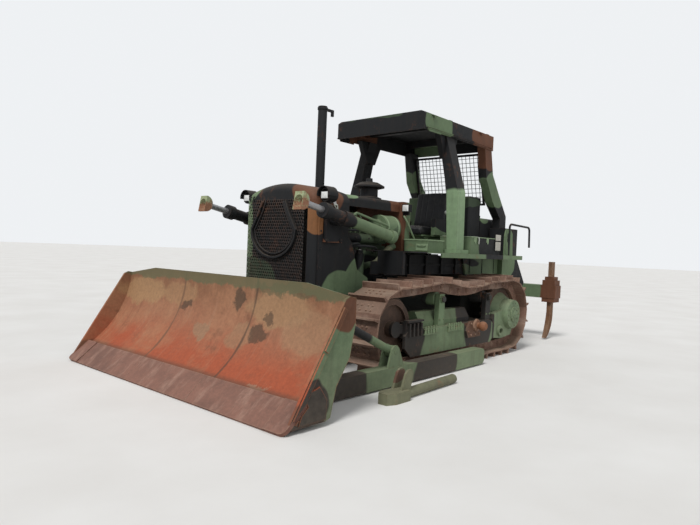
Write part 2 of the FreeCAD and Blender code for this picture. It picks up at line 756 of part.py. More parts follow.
def make_levers():
    # The steering and blade levers and the brake pedals.
    pieces = []
    for y in (-90, -30, 30, 90):
        pieces.append(rod((1440, y, deck_z + 2.4), (1330, y, deck_z + 560), 11))
    for y in (-250, 250):
        stem = rod((1450, y, deck_z + 3.9), (1400, y, deck_z + 190), 14)
        pieces.append(joined([stem, block(1350, 1410, y - 50, y + 50, deck_z + 180, deck_z + 194)]))
    for y in (520, -520, 600):
        pieces.append(rod((720, y, deck_z + 231.8), (760, y, deck_z + 560), 12))
    return pieces


def make_tank():
    # The fuel tank behind the seat, with rounded long edges.
    tank = block(-900, -170, -560, 560, deck_z, 1990)
    edges = [e for e in tank.Edges if abs(e.CenterOfMass.z - 1990) < 1]
    tank = tank.makeFillet(70, edges)
    cap = Part.makeCylinder(60, 60, V(-520, 300, 1985))
    return [joined([tank, cap])]


def make_rear_boxes():
    # Hydraulic tank and battery box beside the fuel tank.
    return both(block(-860, -420, 600, 860, deck_z, rear_box_top))


def make_lifting_eyes():
    # Plates with an oval eye at the platform's rear corners.
    x0 = -560
    plate = slab_y([(x0 - 30, deck_z), (x0 + 250, deck_z), (x0 + 250, deck_z + 300), (x0 + 210, deck_z + 400),
                    (x0 + 80, deck_z + 410), (x0, deck_z + 340)], 900, 924)
    hole = joined([across(x0 + 130, deck_z + 240, 890, 940, 52), across(x0 + 130, deck_z + 300, 890, 940, 52)])
    return both(plate.cut(hole))


def make_handrails():
    rail = tube_along([(-320, 980, deck_z + 0.6), (-330, 980, 1900), (-1040, 980, 1880), (-1060, 980, 1560)], 16, 60)
    return both(rail)


post_roof = canopy_top_z - canopy_depth + 40


def on_rear_post(x, share):
    # A point at a share of the rear post's height, from the boxes that it stands on up to the roof.
    return x, rear_box_top + share * (post_roof - rear_box_top)


def make_posts():
    # Four posts: the front pair upright, the rear pair leaning back to the platform's rear.
    pieces = []
    roof = post_roof
    top_y = canopy_half - canopy_sheet - fit_gap
    d, w = post_depth / 2, post_width
    lip_z = canopy_top_z - canopy_depth - 4
    front = slab_x([(post_half, deck_z + 50), (post_half + w, deck_z + 50), (post_half + w - 10, deck_z + 820),
                    (top_y, lip_z), (top_y, roof), (top_y - w + 20, roof), (post_half - 40, deck_z + 820)],
                   post_front_x - d, post_front_x + d)
    gusset = slab_y([(post_front_x - d - 150, roof), (post_front_x + d + 150, roof),
                     (post_front_x + d, roof - 320), (post_front_x - d, roof - 320)], top_y - 100, top_y - 20)
    foot = block(post_front_x - 160, post_front_x + 160, post_half - 40, post_half + w + 40, deck_z, deck_z + 50)
    pieces.append(joined([front, gusset, foot]))
    outline = ((-90, 1), (110, 1), (20, 0.6), (-220, 0.32), (-480, 0.125), (-480, 0),
               (-680, 0), (-680, 0.165), (-420, 0.42), (-180, 0.67))
    rear = slab_y([on_rear_post(x, share) for x, share in outline], top_y - post_rear_width, top_y)
    pieces.append(rear)
    return [s for p in pieces for s in both(p)]


def make_canopy():
    # The roof: a sheet with deep sides, open below, with chamfered long edges.
    def shell(inset):
        x0, x1 = canopy_rear_x + inset, canopy_front_x - inset
        h, top = canopy_half - inset, canopy_top_z - inset
        low = canopy_top_z - canopy_depth - (1 if inset else 0)
        c = canopy_chamfer
        section = [(-h, low), (h, low), (h, top - c * 0.4), (h - c, top), (c - h, top), (-h, top - c * 0.4)]
        return slab_x(section, x0, x1)

    roof = shell(0).cut(shell(canopy_sheet))
    lips = []
    low = canopy_top_z - canopy_depth
    inner = canopy_half - canopy_sheet
    for side in (-1, 1):
        y0, y1 = sorted((side * canopy_half, side * (canopy_half + 22)))
        lips.append(block(canopy_rear_x + 60, canopy_front_x - 60, y0, y1, low + 30, low + 42))
    beams = [block(x, x + 80, -inner, inner, canopy_top_z - 110, canopy_top_z - canopy_sheet)
             for x in (0, post_front_x - 40)]
    return [joined([roof] + lips + beams)]


def make_screen():
    # The frame of the wire screen between the rear posts.
    half = canopy_half - canopy_sheet - post_rear_width - 2 * fit_gap
    roof = canopy_top_z - canopy_depth - 40
    x0, z0 = on_rear_post(-226, screen_foot)
    lean = [(-30, roof), (0, roof), (x0 + 30, z0), (x0, z0)]
    uprights = [slab_y(lean, y, y + screen_bar) for y in (-half, half - screen_bar, -screen_bar / 2)]
    bars = []
    for x, z in ((-30, roof - 30), (x0, z0)):
        bars.append(block(x, x + 30, -half, half, z, z + 30))
    return [joined(uprights + bars)]


def make_lamps():
    # Lamps in cowled housings on the radiator guard, and small square lamps further back.
    pieces = []
    x, y, z = 3360, guard_half + 78, 1990
    shell = rod((x - 60, y, z), (x + 70, y, z), 74)
    hollow = rod((x + 50, y, z), (x + 80, y, z), 60)
    foot = block(x - 40, x + 20, guard_half + fit_gap, y + 10, z - 90, z - 60)
    stem = block(x - 30, x + 10, y - 20, y + 20, z - 90, z)
    pieces += both(joined([shell, foot, stem]).cut(hollow))
    x, y, z = dash_x1 - 40, dash_half + fit_gap, hood_top_z - 140
    pieces.append(joined([block(x, x + 70, y + 10, y + 120, z, z + 100), block(x, x + 30, y, y + 90, z - 40, z)]))
    return pieces


def make_yokes():
    # Brackets on the radiator guard's sides that carry the lift cylinders' trunnions.
    x, z = lift_pivot_x, lift_pivot_z
    plate = slab_y([(x - 150, z - 260), (x + 120, z - 260), (x + 110, z + 60), (x + 60, z + 100),
                    (x - 60, z + 100), (x - 150, z + 40)], guard_half, guard_half + 50)
    boss = across(x, z, guard_half, lift_y - lift_bore_radius - 22, 78)
    bore = across(x, z, lift_y - lift_bore_radius - 110, lift_y, lift_pin_radius + fit_gap)
    return both(joined([plate, boss]).cut(bore))


def on_lift(along, up=0.0):
    # A point on the lift cylinder's axis at a distance ahead of the trunnion.
    return turned([(along, up)], lift_angle, lift_pivot_x, lift_pivot_z)[0]


def lift_bar(start, end, radius, up=0.0, y=lift_y):
    (x0, z0), (x1, z1) = on_lift(start, up), on_lift(end, up)
    return rod((x0, y, z0), (x1, y, z1), radius)


def make_lift_barrel():
    rod_room = lift_bar(-lift_retract + 60, lift_front + 60, lift_rod_radius + fit_gap)
    barrel = lift_bar(-lift_rear, lift_front, lift_bore_radius)
    head = lift_bar(lift_front - 90, lift_front, lift_bore_radius + 18)
    band = lift_bar(-60, 60, lift_bore_radius + 16)
    tail = lift_bar(-lift_rear - 24, -lift_rear + 60, lift_bore_radius + 14)
    pin = across(lift_pivot_x, lift_pivot_z, lift_y - lift_bore_radius - 100, lift_y, lift_pin_radius)
    (x0, z0), (x1, z1) = on_lift(-lift_rear + 90, 60), on_lift(-lift_rear + 90, 110)
    (x2, z2), (x3, z3) = on_lift(-160, 110), on_lift(-100, 60)
    pipe = tube_along([(x0, lift_y, z0), (x1, lift_y, z1), (x2, lift_y, z2), (x3, lift_y, z3)], 13, 26)
    return joined([barrel, head, band, tail, pin, pipe]).cut(rod_room)


def make_lift_rod():
    # The rod with its open ball socket, whose cap is gone.
    bar = lift_bar(90, lift_reach - 50, lift_rod_radius)
    x, z = on_lift(lift_reach)
    half_socket = across(x, z, lift_y - 62, lift_y + 62, 92)
    ball = Part.makeSphere(58, V(x, lift_y, z))
    ahead = slab_y(turned([(lift_reach + 6, -200), (lift_reach + 300, -200), (lift_reach + 300, 200),
                           (lift_reach + 6, 200)], lift_angle, lift_pivot_x, lift_pivot_z),
                   lift_y - 100, lift_y + 100)
    return joined([bar, half_socket]).cut(ball).cut(ahead)


# Blade profile
edge_dx = edge_length * math.cos(math.radians(edge_angle))
edge_dz = edge_length * math.sin(math.radians(edge_angle))
seam_x = edge_tip_x - edge_dx
seam_z = edge_dz


def on_edge(along):
    # A point on the face that the cutting edge lies on, at a distance from its tip.
    a = math.radians(edge_angle)
    return edge_tip_x - along * math.cos(a), along * math.sin(a)


def board_arc(back):
    # The moldboard's curve as start, middle and end points, moved back by a distance.
    chord_x, chord_z = board_top_x - seam_x, board_top_z - seam_z
    chord = math.hypot(chord_x, chord_z)
    nx, nz = -chord_z / chord, chord_x / chord
    middle = ((seam_x + board_top_x) / 2 + nx * (board_bulge + back),
              (seam_z + board_top_z) / 2 + nz * (board_bulge + back))
    start = (seam_x + nx * back, seam_z + nz * back)
    end = (board_top_x - back, board_top_z)
    return start, middle, end


def board_solid(thickness, y0, y1, front=0.0):
    (ax, az), (bx, bz), (cx, cz) = board_arc(front)
    (dx, dz), (ex, ez), (fx, fz) = board_arc(front + thickness)
    wire = Part.Wire([
        Part.Arc(V(ax, y0, az), V(bx, y0, bz), V(cx, y0, cz)).toShape(),
        Part.makeLine(V(cx, y0, cz), V(fx, y0, fz)),
        Part.Arc(V(fx, y0, fz), V(ex, y0, ez), V(dx, y0, dz)).toShape(),
        Part.makeLine(V(dx, y0, dz), V(ax, y0, az))])
    return Part.Face(wire).extrude(V(0, y1 - y0, 0))


def top_corner_cut():
    # What is missing from the moldboard's top corner, where the edge slopes down to the end.
    y0 = blade_half - corner_run
    return slab_x([(y0, board_top_z), (blade_half + 50, board_top_z - corner_drop * (1 + 50 / corner_run)),
                   (blade_half + 50, board_top_z + 60), (y0, board_top_z + 60)],
                  board_top_x - 400, board_top_x + 400)


def make_moldboard():
    # The curved plate, its end plates and the stiffening box, ribs and ears on its back.
    inner = blade_half - end_plate
    plate = board_solid(board_plate, -inner, inner)
    tip_x, tip_z = on_edge(edge_back_set)
    foot_x = seam_x - foot_depth
    foot = slab_y([(seam_x, seam_z), (tip_x, tip_z), (tip_x - 30, tip_z - 6), (foot_x, 60), (foot_x - 40, 110),
                   (foot_x, 240), (seam_x - 60, seam_z + 20)], -inner, inner)
    start, middle, end = board_arc(board_plate)
    back_x = middle[0]
    beam = slab_y([(back_x + 40, middle[1] + 160), (back_x - 150, middle[1] + 90), (back_x - 150, middle[1] - 120),
                   (back_x + 60, middle[1] - 230)], -inner + 60, inner - 60)
    beam = beam.cut(board_solid(500, -inner, inner, -500))
    arm_middle = arm_outer_y - arm_width / 2
    lug = block(arm_front_x, arm_front_x + arm_lug_length, arm_middle - arm_width / 2 - 12, arm_middle + arm_width / 2 + 12,
                arm_bottom, arm_bottom + arm_height + 20)
    pieces = [plate, foot, beam] + both(lug)
    pieces += both(across(brace_head_x, brace_head_z, arm_middle - 66, arm_middle + 66, brace_pin_radius))
    ribs = []
    for y in (arm_middle - 64, arm_middle + 42):
        ear = slab_y([(brace_head_x - 50, brace_head_z - 20), (brace_head_x - 40, brace_head_z + 46),
                      (brace_head_x + 140, brace_head_z + 90), (brace_head_x + 140, brace_head_z - 100),
                      (brace_head_x - 20, brace_head_z - 50)], y, y + 22)
        ribs += both(ear)
    for y in (-1500, -600, 0, 600, 1500):
        rib = slab_y([(end[0] + 20, end[1] - 60), (end[0] - 60, end[1] - 160), (back_x - 150, middle[1] + 60),
                      (back_x + 60, middle[1])], y - 10, y + 10)
        low = slab_y([(back_x - 150, middle[1] - 100), (foot_x - 120, 120), (foot_x, 90),
                      (back_x + 80, middle[1] - 60)],
                     y - 10, y + 10)
        ribs += [rib, low]
    in_front = board_solid(600, -inner, inner, -600)
    pieces += [rib.cut(in_front) for rib in ribs]
    whole = joined(pieces)
    whole = whole.cut(top_corner_cut()).cut(opposite(top_corner_cut()))
    return whole


def make_end_plates():
    # Plates on the blade's ends, each with two strips along its sloping front edge and a wear shoe.
    inner = blade_half - end_plate
    low = (edge_tip_x - 40, 76)
    high = (board_top_x + 92, board_top_z - corner_drop - 10)
    foot_x = seam_x - foot_depth
    outline = [(edge_tip_x - 66, 40), low, high,
               (board_top_x + 40, board_top_z - corner_drop + 14), (board_top_x - 36, board_top_z - corner_drop),
               (board_top_x - 40, 0.73 * board_top_z), (board_top_x + 20, 0.47 * board_top_z),
               (foot_x - 120, 300), (foot_x - 60, 60), (foot_x, 40)]
    plate = slab_y(outline, inner, blade_half)
    length = math.dist(low, high)
    ux, uz = (high[0] - low[0]) / length, (high[1] - low[1]) / length

    def on_front(share, back):
        along = share * length
        return low[0] + ux * along - uz * back, low[1] + uz * along + ux * back

    pieces = [plate]
    for start, end in ((0.03, 0.56), (0.58, 0.94)):
        strip = [on_front(start, 12), on_front(end, 12), on_front(end, 58), on_front(start, 58)]
        pieces.append(slab_y(strip, blade_half, blade_half + 14))
    shoe = [(edge_tip_x - 130, 60), (seam_x, 300), (seam_x - 120, 330), (foot_x, 220), (foot_x, 60)]
    pieces.append(slab_y(shoe, blade_half, blade_half + 12))
    bit = edge_piece(blade_half - end_bit_width, blade_half + 40, end_bit_plate, False)
    return both(joined(pieces).cut(bit))


def edge_piece(y0, y1, plate, corner):
    # A cutting-edge length laid on the moldboard's foot, from its tip up to the seam.
    c, s = math.cos(math.radians(edge_angle)), math.sin(math.radians(edge_angle))
    piece = Part.makeBox(edge_length, y1 - y0, plate)
    if corner:
        far = [e for e in piece.Edges
               if abs(e.CenterOfMass.x) < 1 and abs(e.CenterOfMass.y - (y1 - y0)) < 1]
        piece = piece.makeFillet(60, far)
    matrix = FreeCAD.Matrix(-c, 0, s, edge_tip_x,
                            0, 1, 0, y0,
                            s, 0, c, 0,
                            0, 0, 0, 1)
    return piece.transformGeometry(matrix)


def make_cutting_edges():
    pieces = []
    inner = blade_half - end_bit_width
    width = 2 * inner / 3
    for i in range(3):
        pieces.append(edge_piece(-inner + i * width + 2, -inner + (i + 1) * width - 2, edge_plate, False))
    bit = edge_piece(inner + 2, blade_half, end_bit_plate, True)
    return pieces + both(bit)


def make_push_arms():
    # Box beams from the blade's back to their sockets, with the ears of the braces.
    y1 = arm_outer_y
    y0 = y1 - arm_width
    z0, z1 = arm_bottom, arm_bottom + arm_height
    beam = slab_y([(arm_rear_x, z0 + 36), (arm_rear_x + 36, z0), (arm_front_x, z0), (arm_front_x, z1),
                   (arm_rear_x + 36, z1), (arm_rear_x, z1 - 36)], y0, y1)
    socket = across(arm_pivot_x, arm_pivot_z, y0 - 1, y0 + arm_socket_depth, trunnion_ball + 2)
    ears = []
    for y in (y0 + 8, y1 - 32):
        ear = slab_y([(brace_foot_x - 150, z1), (brace_foot_x + 120, z1), (brace_foot_x + 62, brace_foot_z + 30),
                      (brace_foot_x + 20, brace_foot_z + 66), (brace_foot_x - 20, brace_foot_z + 66),
                      (brace_foot_x - 60, brace_foot_z + 30)], y, y + 24)
        ears.append(ear)
    pin = across(brace_foot_x, brace_foot_z, y0 + 4, y1 - 4, brace_pin_radius)
    return both(joined([beam.cut(socket)] + ears + [pin]))


def make_braces():
    # The struts from the arms' ears up to the blade's back.
    y = arm_outer_y - arm_width / 2
    dx, dz = brace_head_x - brace_foot_x, brace_head_z - brace_foot_z
    length = math.hypot(dx, dz)
    ux, uz = dx / length, dz / length
    tube = rod((brace_foot_x + ux * 50, y, brace_foot_z + uz * 50),
               (brace_head_x - ux * 46, y, brace_head_z - uz * 46), brace_radius)
    eyes = [across(brace_foot_x, brace_foot_z, y - 38, y + 38, 62),
            across(brace_head_x, brace_head_z, y - 38, y + 38, 56)]
    bores = [across(x, z, y - 50, y + 50, brace_pin_radius + fit_gap)
             for x, z in ((brace_foot_x, brace_foot_z), (brace_head_x, brace_head_z))]
    screw = rod((brace_foot_x + ux * 760, y, brace_foot_z + uz * 760),
                (brace_foot_x + ux * 860, y, brace_foot_z + uz * 860), brace_radius + 14)
    return both(joined([tube, screw] + eyes).cut(Part.makeCompound(bores)))


def make_loose_brace():
    # The brace that lies beside the left arm: an open pipe with a yoke of two ears and a lower eye.
    rear, front = V(2390, 1700, 50), V(3390, 1745, 50)
    pipe = Part.makeCylinder(50, (front - rear).Length, rear, front - rear)
    bore = Part.makeCylinder(38, 260, rear - (front - rear).normalize() * 1, front - rear)
    body = slab_z([(3350, 1672), (3620, 1650), (3700, 1690), (3700, 1790), (3600, 1830), (3380, 1830)], 0, 104)
    ears = [slab_y([(3330, 60), (3480, 60), (3400, 250), (3360, 285), (3310, 285), (3280, 250)], y, y + 26)
            for y in (1660, 1760)]
    return [joined([pipe, body] + ears).cut(bore)]


# Ripper
def link_end(pin_x, pin_z):
    a = math.radians(link_rise)
    return pin_x - link_length * math.cos(a), pin_z + link_length * math.sin(a)


upper_pin = (link_pin_x + link_stand_x, link_pin_z + link_stand_z)
lower_eye = link_end(link_pin_x, link_pin_z)
upper_eye = link_end(*upper_pin)


def make_ripper_mount():
    # The bracket on the machine's rear, with side plates and the pins of the links.
    back = block(case_rear_x - 60, case_rear_x, -case_half, case_half, hull_bottom + 40, deck_z - 120)
    side = slab_y([(case_rear_x - 60, deck_z - 30), (-1060, deck_z - 30), (-1400, 970), (-1330, 900),
                   (-1000, 860), (case_rear_x - 60, 860)], 740, 770)
    web = slab_y([(case_rear_x, deck_z - 20), (case_rear_x - 60, deck_z - 20), (case_rear_x - 60, 800),
                  (case_rear_x, 800)], 600, 770)
    pieces = [back] + both(side) + both(web)
    for x, z in ((link_pin_x, link_pin_z), upper_pin):
        for y in (link_y - 54, link_y + link_thickness / 2 + 4):
            ear = slab_y([(case_rear_x - 60, z - 90), (x + 10, z - 62), (x - 40, z - 46), (x - 62, z),
                          (x - 40, z + 46), (x + 10, z + 62), (case_rear_x - 60, z + 90)], y, y + 20)
            pieces += both(ear)
        pieces += both(across(x, z, link_y - 56, link_y + link_thickness / 2 + 26, ripper_pin_radius))
    for y in (ripper_cyl_y - 66, ripper_cyl_y + 46):
        ear = slab_y([(case_rear_x - 60, 1240), (ripper_head_x + 30, 1240), (ripper_head_x - 60, ripper_head_z),
                      (ripper_head_x - 20, ripper_head_z + 60), (ripper_head_x + 60, ripper_head_z + 50),
                      (case_rear_x - 60, deck_z - 130)], y, y + 20)
        pieces += both(ear)
    pieces += both(across(ripper_head_x, ripper_head_z, ripper_cyl_y - 70, ripper_cyl_y + 70, ripper_pin_radius))
    return [joined(pieces)]


def make_link(pin, eye_end):
    y0, y1 = link_y - link_thickness / 2, link_y + link_thickness / 2
    length = link_length
    body = [(0, -52), (length, -52), (length, 52), (0, 52)]
    angle = 180 - link_rise
    points = turned(body, angle, pin[0], pin[1])
    plate = slab_y(points, y0, y1)
    ends = [across(pin[0], pin[1], y0, y1, 62), across(eye_end[0], eye_end[1], y0, y1, 62)]
    bores = [across(pin[0], pin[1], y0 - 5, y1 + 5, ripper_pin_radius + fit_gap),
             across(eye_end[0], eye_end[1], y0 - 5, y1 + 5, ripper_pin_radius + fit_gap)]
    return joined([plate] + ends).cut(Part.makeCompound(bores))


def make_ripper_beam():
    # The cross beam with its pockets and collars, and ears for links and cylinders.
    beam = block(beam_x0, beam_x1, -beam_half, beam_half, beam_z0, beam_z1)
    pieces = [beam]
    for y in shank_ys:
        pieces.append(block(beam_x0 - 0, beam_x1 - 10, y - 110, y + 110, beam_z0 - 70, beam_z1 + 90))
        pieces.append(block(beam_x0 + 20, beam_x1 - 40, y - 80, y + 80, beam_z1 + 90, beam_z1 + 150))
    for side in (-1, 1):
        for offset in (-56, link_thickness / 2 + 4):
            y = side * link_y + side * offset
            y0, y1 = sorted((y, y + side * 22))
            pieces.append(slab_y([(beam_x1 - 20, beam_z0), (lower_eye[0] + 30, lower_eye[1] - 60),
                                  (lower_eye[0] + 62, lower_eye[1]), (lower_eye[0] + 40, lower_eye[1] + 50),
                                  (upper_eye[0] + 56, upper_eye[1] - 20), (upper_eye[0] + 40, upper_eye[1] + 46),
                                  (upper_eye[0] - 30, upper_eye[1] + 56), (beam_x1 - 20, beam_z1)], y0, y1))
    for x, z in (lower_eye, upper_eye):
        pieces += both(across(x, z, link_y - 58, link_y + link_thickness / 2 + 28, ripper_pin_radius))
    for y in (ripper_cyl_y - 74, ripper_cyl_y + 50):
        ear = slab_y([(beam_x1 - 20, beam_z0 - 20), (ripper_eye_x - 40, ripper_eye_z - 66),
                      (ripper_eye_x + 40, ripper_eye_z - 54), (ripper_eye_x + 62, ripper_eye_z),
                      (ripper_eye_x + 40, ripper_eye_z + 54), (ripper_eye_x - 40, ripper_eye_z + 66),
                      (beam_x1 - 20, beam_z1 - 20)], y, y + 24)
        hole = across(ripper_eye_x, ripper_eye_z, y - 1, y + 25, ripper_pin_radius)
        pieces += both(ear.cut(hole))
    whole = joined(pieces)
    for y in shank_ys:
        whole = whole.cut(block(shank_x0 - 4, shank_x0 + shank_width + 4, y - shank_thickness / 2 - 4,
                                y + shank_thickness / 2 + 4, beam_z0 - 200, beam_z1 + 300))
    return [whole]


def ripper_bar(start, end, radius):
    # A round bar on the ripper cylinder's axis, at distances from its head pin.
    dx, dz = ripper_eye_x - ripper_head_x, ripper_eye_z - ripper_head_z
    length = math.hypot(dx, dz)
    ends = [(ripper_head_x + dx * t / length, ripper_cyl_y, ripper_head_z + dz * t / length)
            for t in (start, end)]
    return rod(ends[0], ends[1], radius)


ripper_span = math.hypot(ripper_eye_x - ripper_head_x, ripper_eye_z - ripper_head_z)


def make_ripper_barrel():
    barrel = ripper_bar(60, ripper_barrel_length, ripper_bore_radius)
    head = ripper_bar(ripper_barrel_length - 60, ripper_barrel_length, ripper_bore_radius + 12)
    eye = across(ripper_head_x, ripper_head_z, ripper_cyl_y - 40, ripper_cyl_y + 40, 68)
    bore = across(ripper_head_x, ripper_head_z, ripper_cyl_y - 50, ripper_cyl_y + 50, ripper_pin_radius + fit_gap)
    rod_room = ripper_bar(120, ripper_barrel_length + 10, ripper_rod_radius + fit_gap)
    return joined([barrel, head, eye]).cut(bore).cut(rod_room)


def make_ripper_rod():
    # The rod and its eye, which stands between the beam's ears free of a pin.
    bar = ripper_bar(420, ripper_span - 40, ripper_rod_radius)
    eye = across(ripper_eye_x, ripper_eye_z, ripper_cyl_y - 36, ripper_cyl_y + 36, 60)
    bore = across(ripper_eye_x, ripper_eye_z, ripper_cyl_y - 40, ripper_cyl_y + 40, ripper_pin_radius)
    return joined([bar, eye]).cut(bore)


def make_shanks():
    # Three shanks, straight in their pockets and curved forward to a chisel tip.
    x0, x1 = shank_x0, shank_x0 + shank_width
    pieces = []
    for y in shank_ys:
        y0 = y - shank_thickness / 2
        wire = Part.Wire([
            Part.makeLine(V(x0, y0, shank_top_z), V(x0, y0, 420)),
            Part.Arc(V(x0, y0, 420), V(x0 + 70, y0, 190), V(x0 + 240, y0, 24)).toShape(),
            Part.makeLine(V(x0 + 240, y0, 24), V(x0 + 262, y0, 24)),
            Part.Arc(V(x0 + 262, y0, 24), V(x1 + 60, y0, 230), V(x1, y0, 470)).toShape(),
            Part.makeLine(V(x1, y0, 470), V(x1, y0, shank_top_z)),
            Part.makeLine(V(x1, y0, shank_top_z), V(x0, y0, shank_top_z))])
        shank = Part.Face(wire).extrude(V(0, shank_thickness, 0))
        pin = block(x0 - 30, x1 + 30, y - 12, y + 12, beam_z1 + 150 + fit_gap, beam_z1 + 174)
        pieces.append(joined([shank, pin]))
    return pieces


os.makedirs("parts", exist_ok=True)

left_track = make_track()
write("track_left", [left_track])
write("track_right", [opposite(left_track)])
write("track_wheels", both(make_sprocket()) + both(make_idler()))
write("track_rollers", [s for r in make_rollers() + make_carriers() for s in both(r)])
write("track_frame_left", [make_track_frame()])
write("track_frame_right", [opposite(make_track_frame())])
write("final_drives", both(make_final_drive()))
write("hull", [make_hull()])
write("radiator_guard", [make_radiator_guard()])
write("grille", make_grille())
write("hood", make_hood())
write("engine", make_engine())
write("engine_pipes", make_engine_dress())
write("exhaust_stack", make_exhaust())
write("pre_cleaner", make_intake())
write("dash_cowl", make_dash())
write("platform", make_platform())
write("deck_boxes", make_side_boxes() + make_rear_boxes())
write("seat_base", make_seat_base())
write("seat_cushion", make_seat_cushion())
write("seat_back", make_seat_back())
write("levers", make_levers())
write("fuel_tank", make_tank())
write("rear_fittings", make_lifting_eyes() + make_handrails())
write("canopy_posts", make_posts())
write("canopy", make_canopy())
write("rear_screen", make_screen())
write("lamps", make_lamps())
write("cylinder_yokes", make_yokes())
left_barrel, left_rod = make_lift_barrel(), make_lift_rod()
write("lift_barrel_left", [left_barrel])
write("lift_barrel_right", [opposite(left_barrel)])
write("lift_rod_left", [left_rod])
write("lift_rod_right", [opposite(left_rod)])
write("moldboard", [joined([make_moldboard()] + make_end_plates())])
write("cutting_edges", make_cutting_edges())
write("push_arms", make_push_arms())
write("blade_braces", make_braces())
write("loose_brace", make_loose_brace())
write("ripper_mount", make_ripper_mount())
write("ripper_lower_links", both(make_link((link_pin_x, link_pin_z), lower_eye)))
write("ripper_upper_links", both(make_link(upper_pin, upper_eye)))
write("ripper_beam", make_ripper_beam())
write("ripper_shanks", make_shanks())
write("ripper_barrels", both(make_ripper_barrel()))
write("ripper_rods", both(make_ripper_rod()))
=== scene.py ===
import math

import bmesh
import bpy
import numpy as np
from mathutils import Matrix, Vector


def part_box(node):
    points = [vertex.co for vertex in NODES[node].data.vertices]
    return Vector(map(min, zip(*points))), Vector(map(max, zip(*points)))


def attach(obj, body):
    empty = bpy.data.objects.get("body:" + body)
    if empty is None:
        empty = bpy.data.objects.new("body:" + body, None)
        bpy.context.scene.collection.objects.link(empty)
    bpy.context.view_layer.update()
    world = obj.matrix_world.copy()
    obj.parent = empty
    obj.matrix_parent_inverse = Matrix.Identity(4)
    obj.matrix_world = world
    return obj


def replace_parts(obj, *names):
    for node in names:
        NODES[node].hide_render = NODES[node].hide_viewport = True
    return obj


# A crawler dozer in camouflage paint, parked with its blade put down in front. Lengths are metres.
# Points are written from the sprocket axle forward (x), to the left (y) and up (z), and at() moves
# them to the frame, whose origin is the machine's middle.

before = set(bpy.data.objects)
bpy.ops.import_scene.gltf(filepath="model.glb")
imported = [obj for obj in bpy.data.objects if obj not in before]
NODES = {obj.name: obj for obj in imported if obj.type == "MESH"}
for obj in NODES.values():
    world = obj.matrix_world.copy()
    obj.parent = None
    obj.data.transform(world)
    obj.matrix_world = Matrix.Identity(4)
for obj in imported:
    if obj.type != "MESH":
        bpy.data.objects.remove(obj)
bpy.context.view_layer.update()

AXLE_TO_MIDDLE = 1.44657
TRACK_Y = 0.99
TRACTOR = "tractor"

# Paints and bare surfaces, linear colour
GREEN = (0.125, 0.178, 0.098)
# Green paint as bright as it looks in full light: painted light wherever it is used
SUNLIT_GREEN = (0.195, 0.28, 0.16)
DARK_GREEN = (0.042, 0.06, 0.036)
BLACK = (0.01, 0.0105, 0.0115)
BROWN = (0.125, 0.052, 0.028)
ORANGE_BROWN = (0.215, 0.095, 0.038)
RUST = (0.19, 0.075, 0.035)
DARK_RUST = (0.085, 0.04, 0.025)
PALE_RUST = (0.33, 0.215, 0.15)
DUST = (0.4, 0.31, 0.225)
GRIME = (0.022, 0.018, 0.014)
BARE_STEEL = (0.38, 0.37, 0.36)
VINYL = (0.018, 0.018, 0.02)
# White of the lamp lenses: a painted highlight on their glass
LENS = (0.78, 0.78, 0.76)
PLATE = (0.42, 0.4, 0.35)

# How strongly a matt surface reflects, and how wide paint is chipped and bare steel is worn at edges
MATT = 0.22
CHIP_WIDTH = 0.008
WORN_WIDTH = 0.012


def at(x, y, z):
    return Vector((x - AXLE_TO_MIDDLE, y, z))


def placed(name, data):
    made = bpy.data.objects.new(name, data)
    bpy.context.collection.objects.link(made)
    return made


# Materials

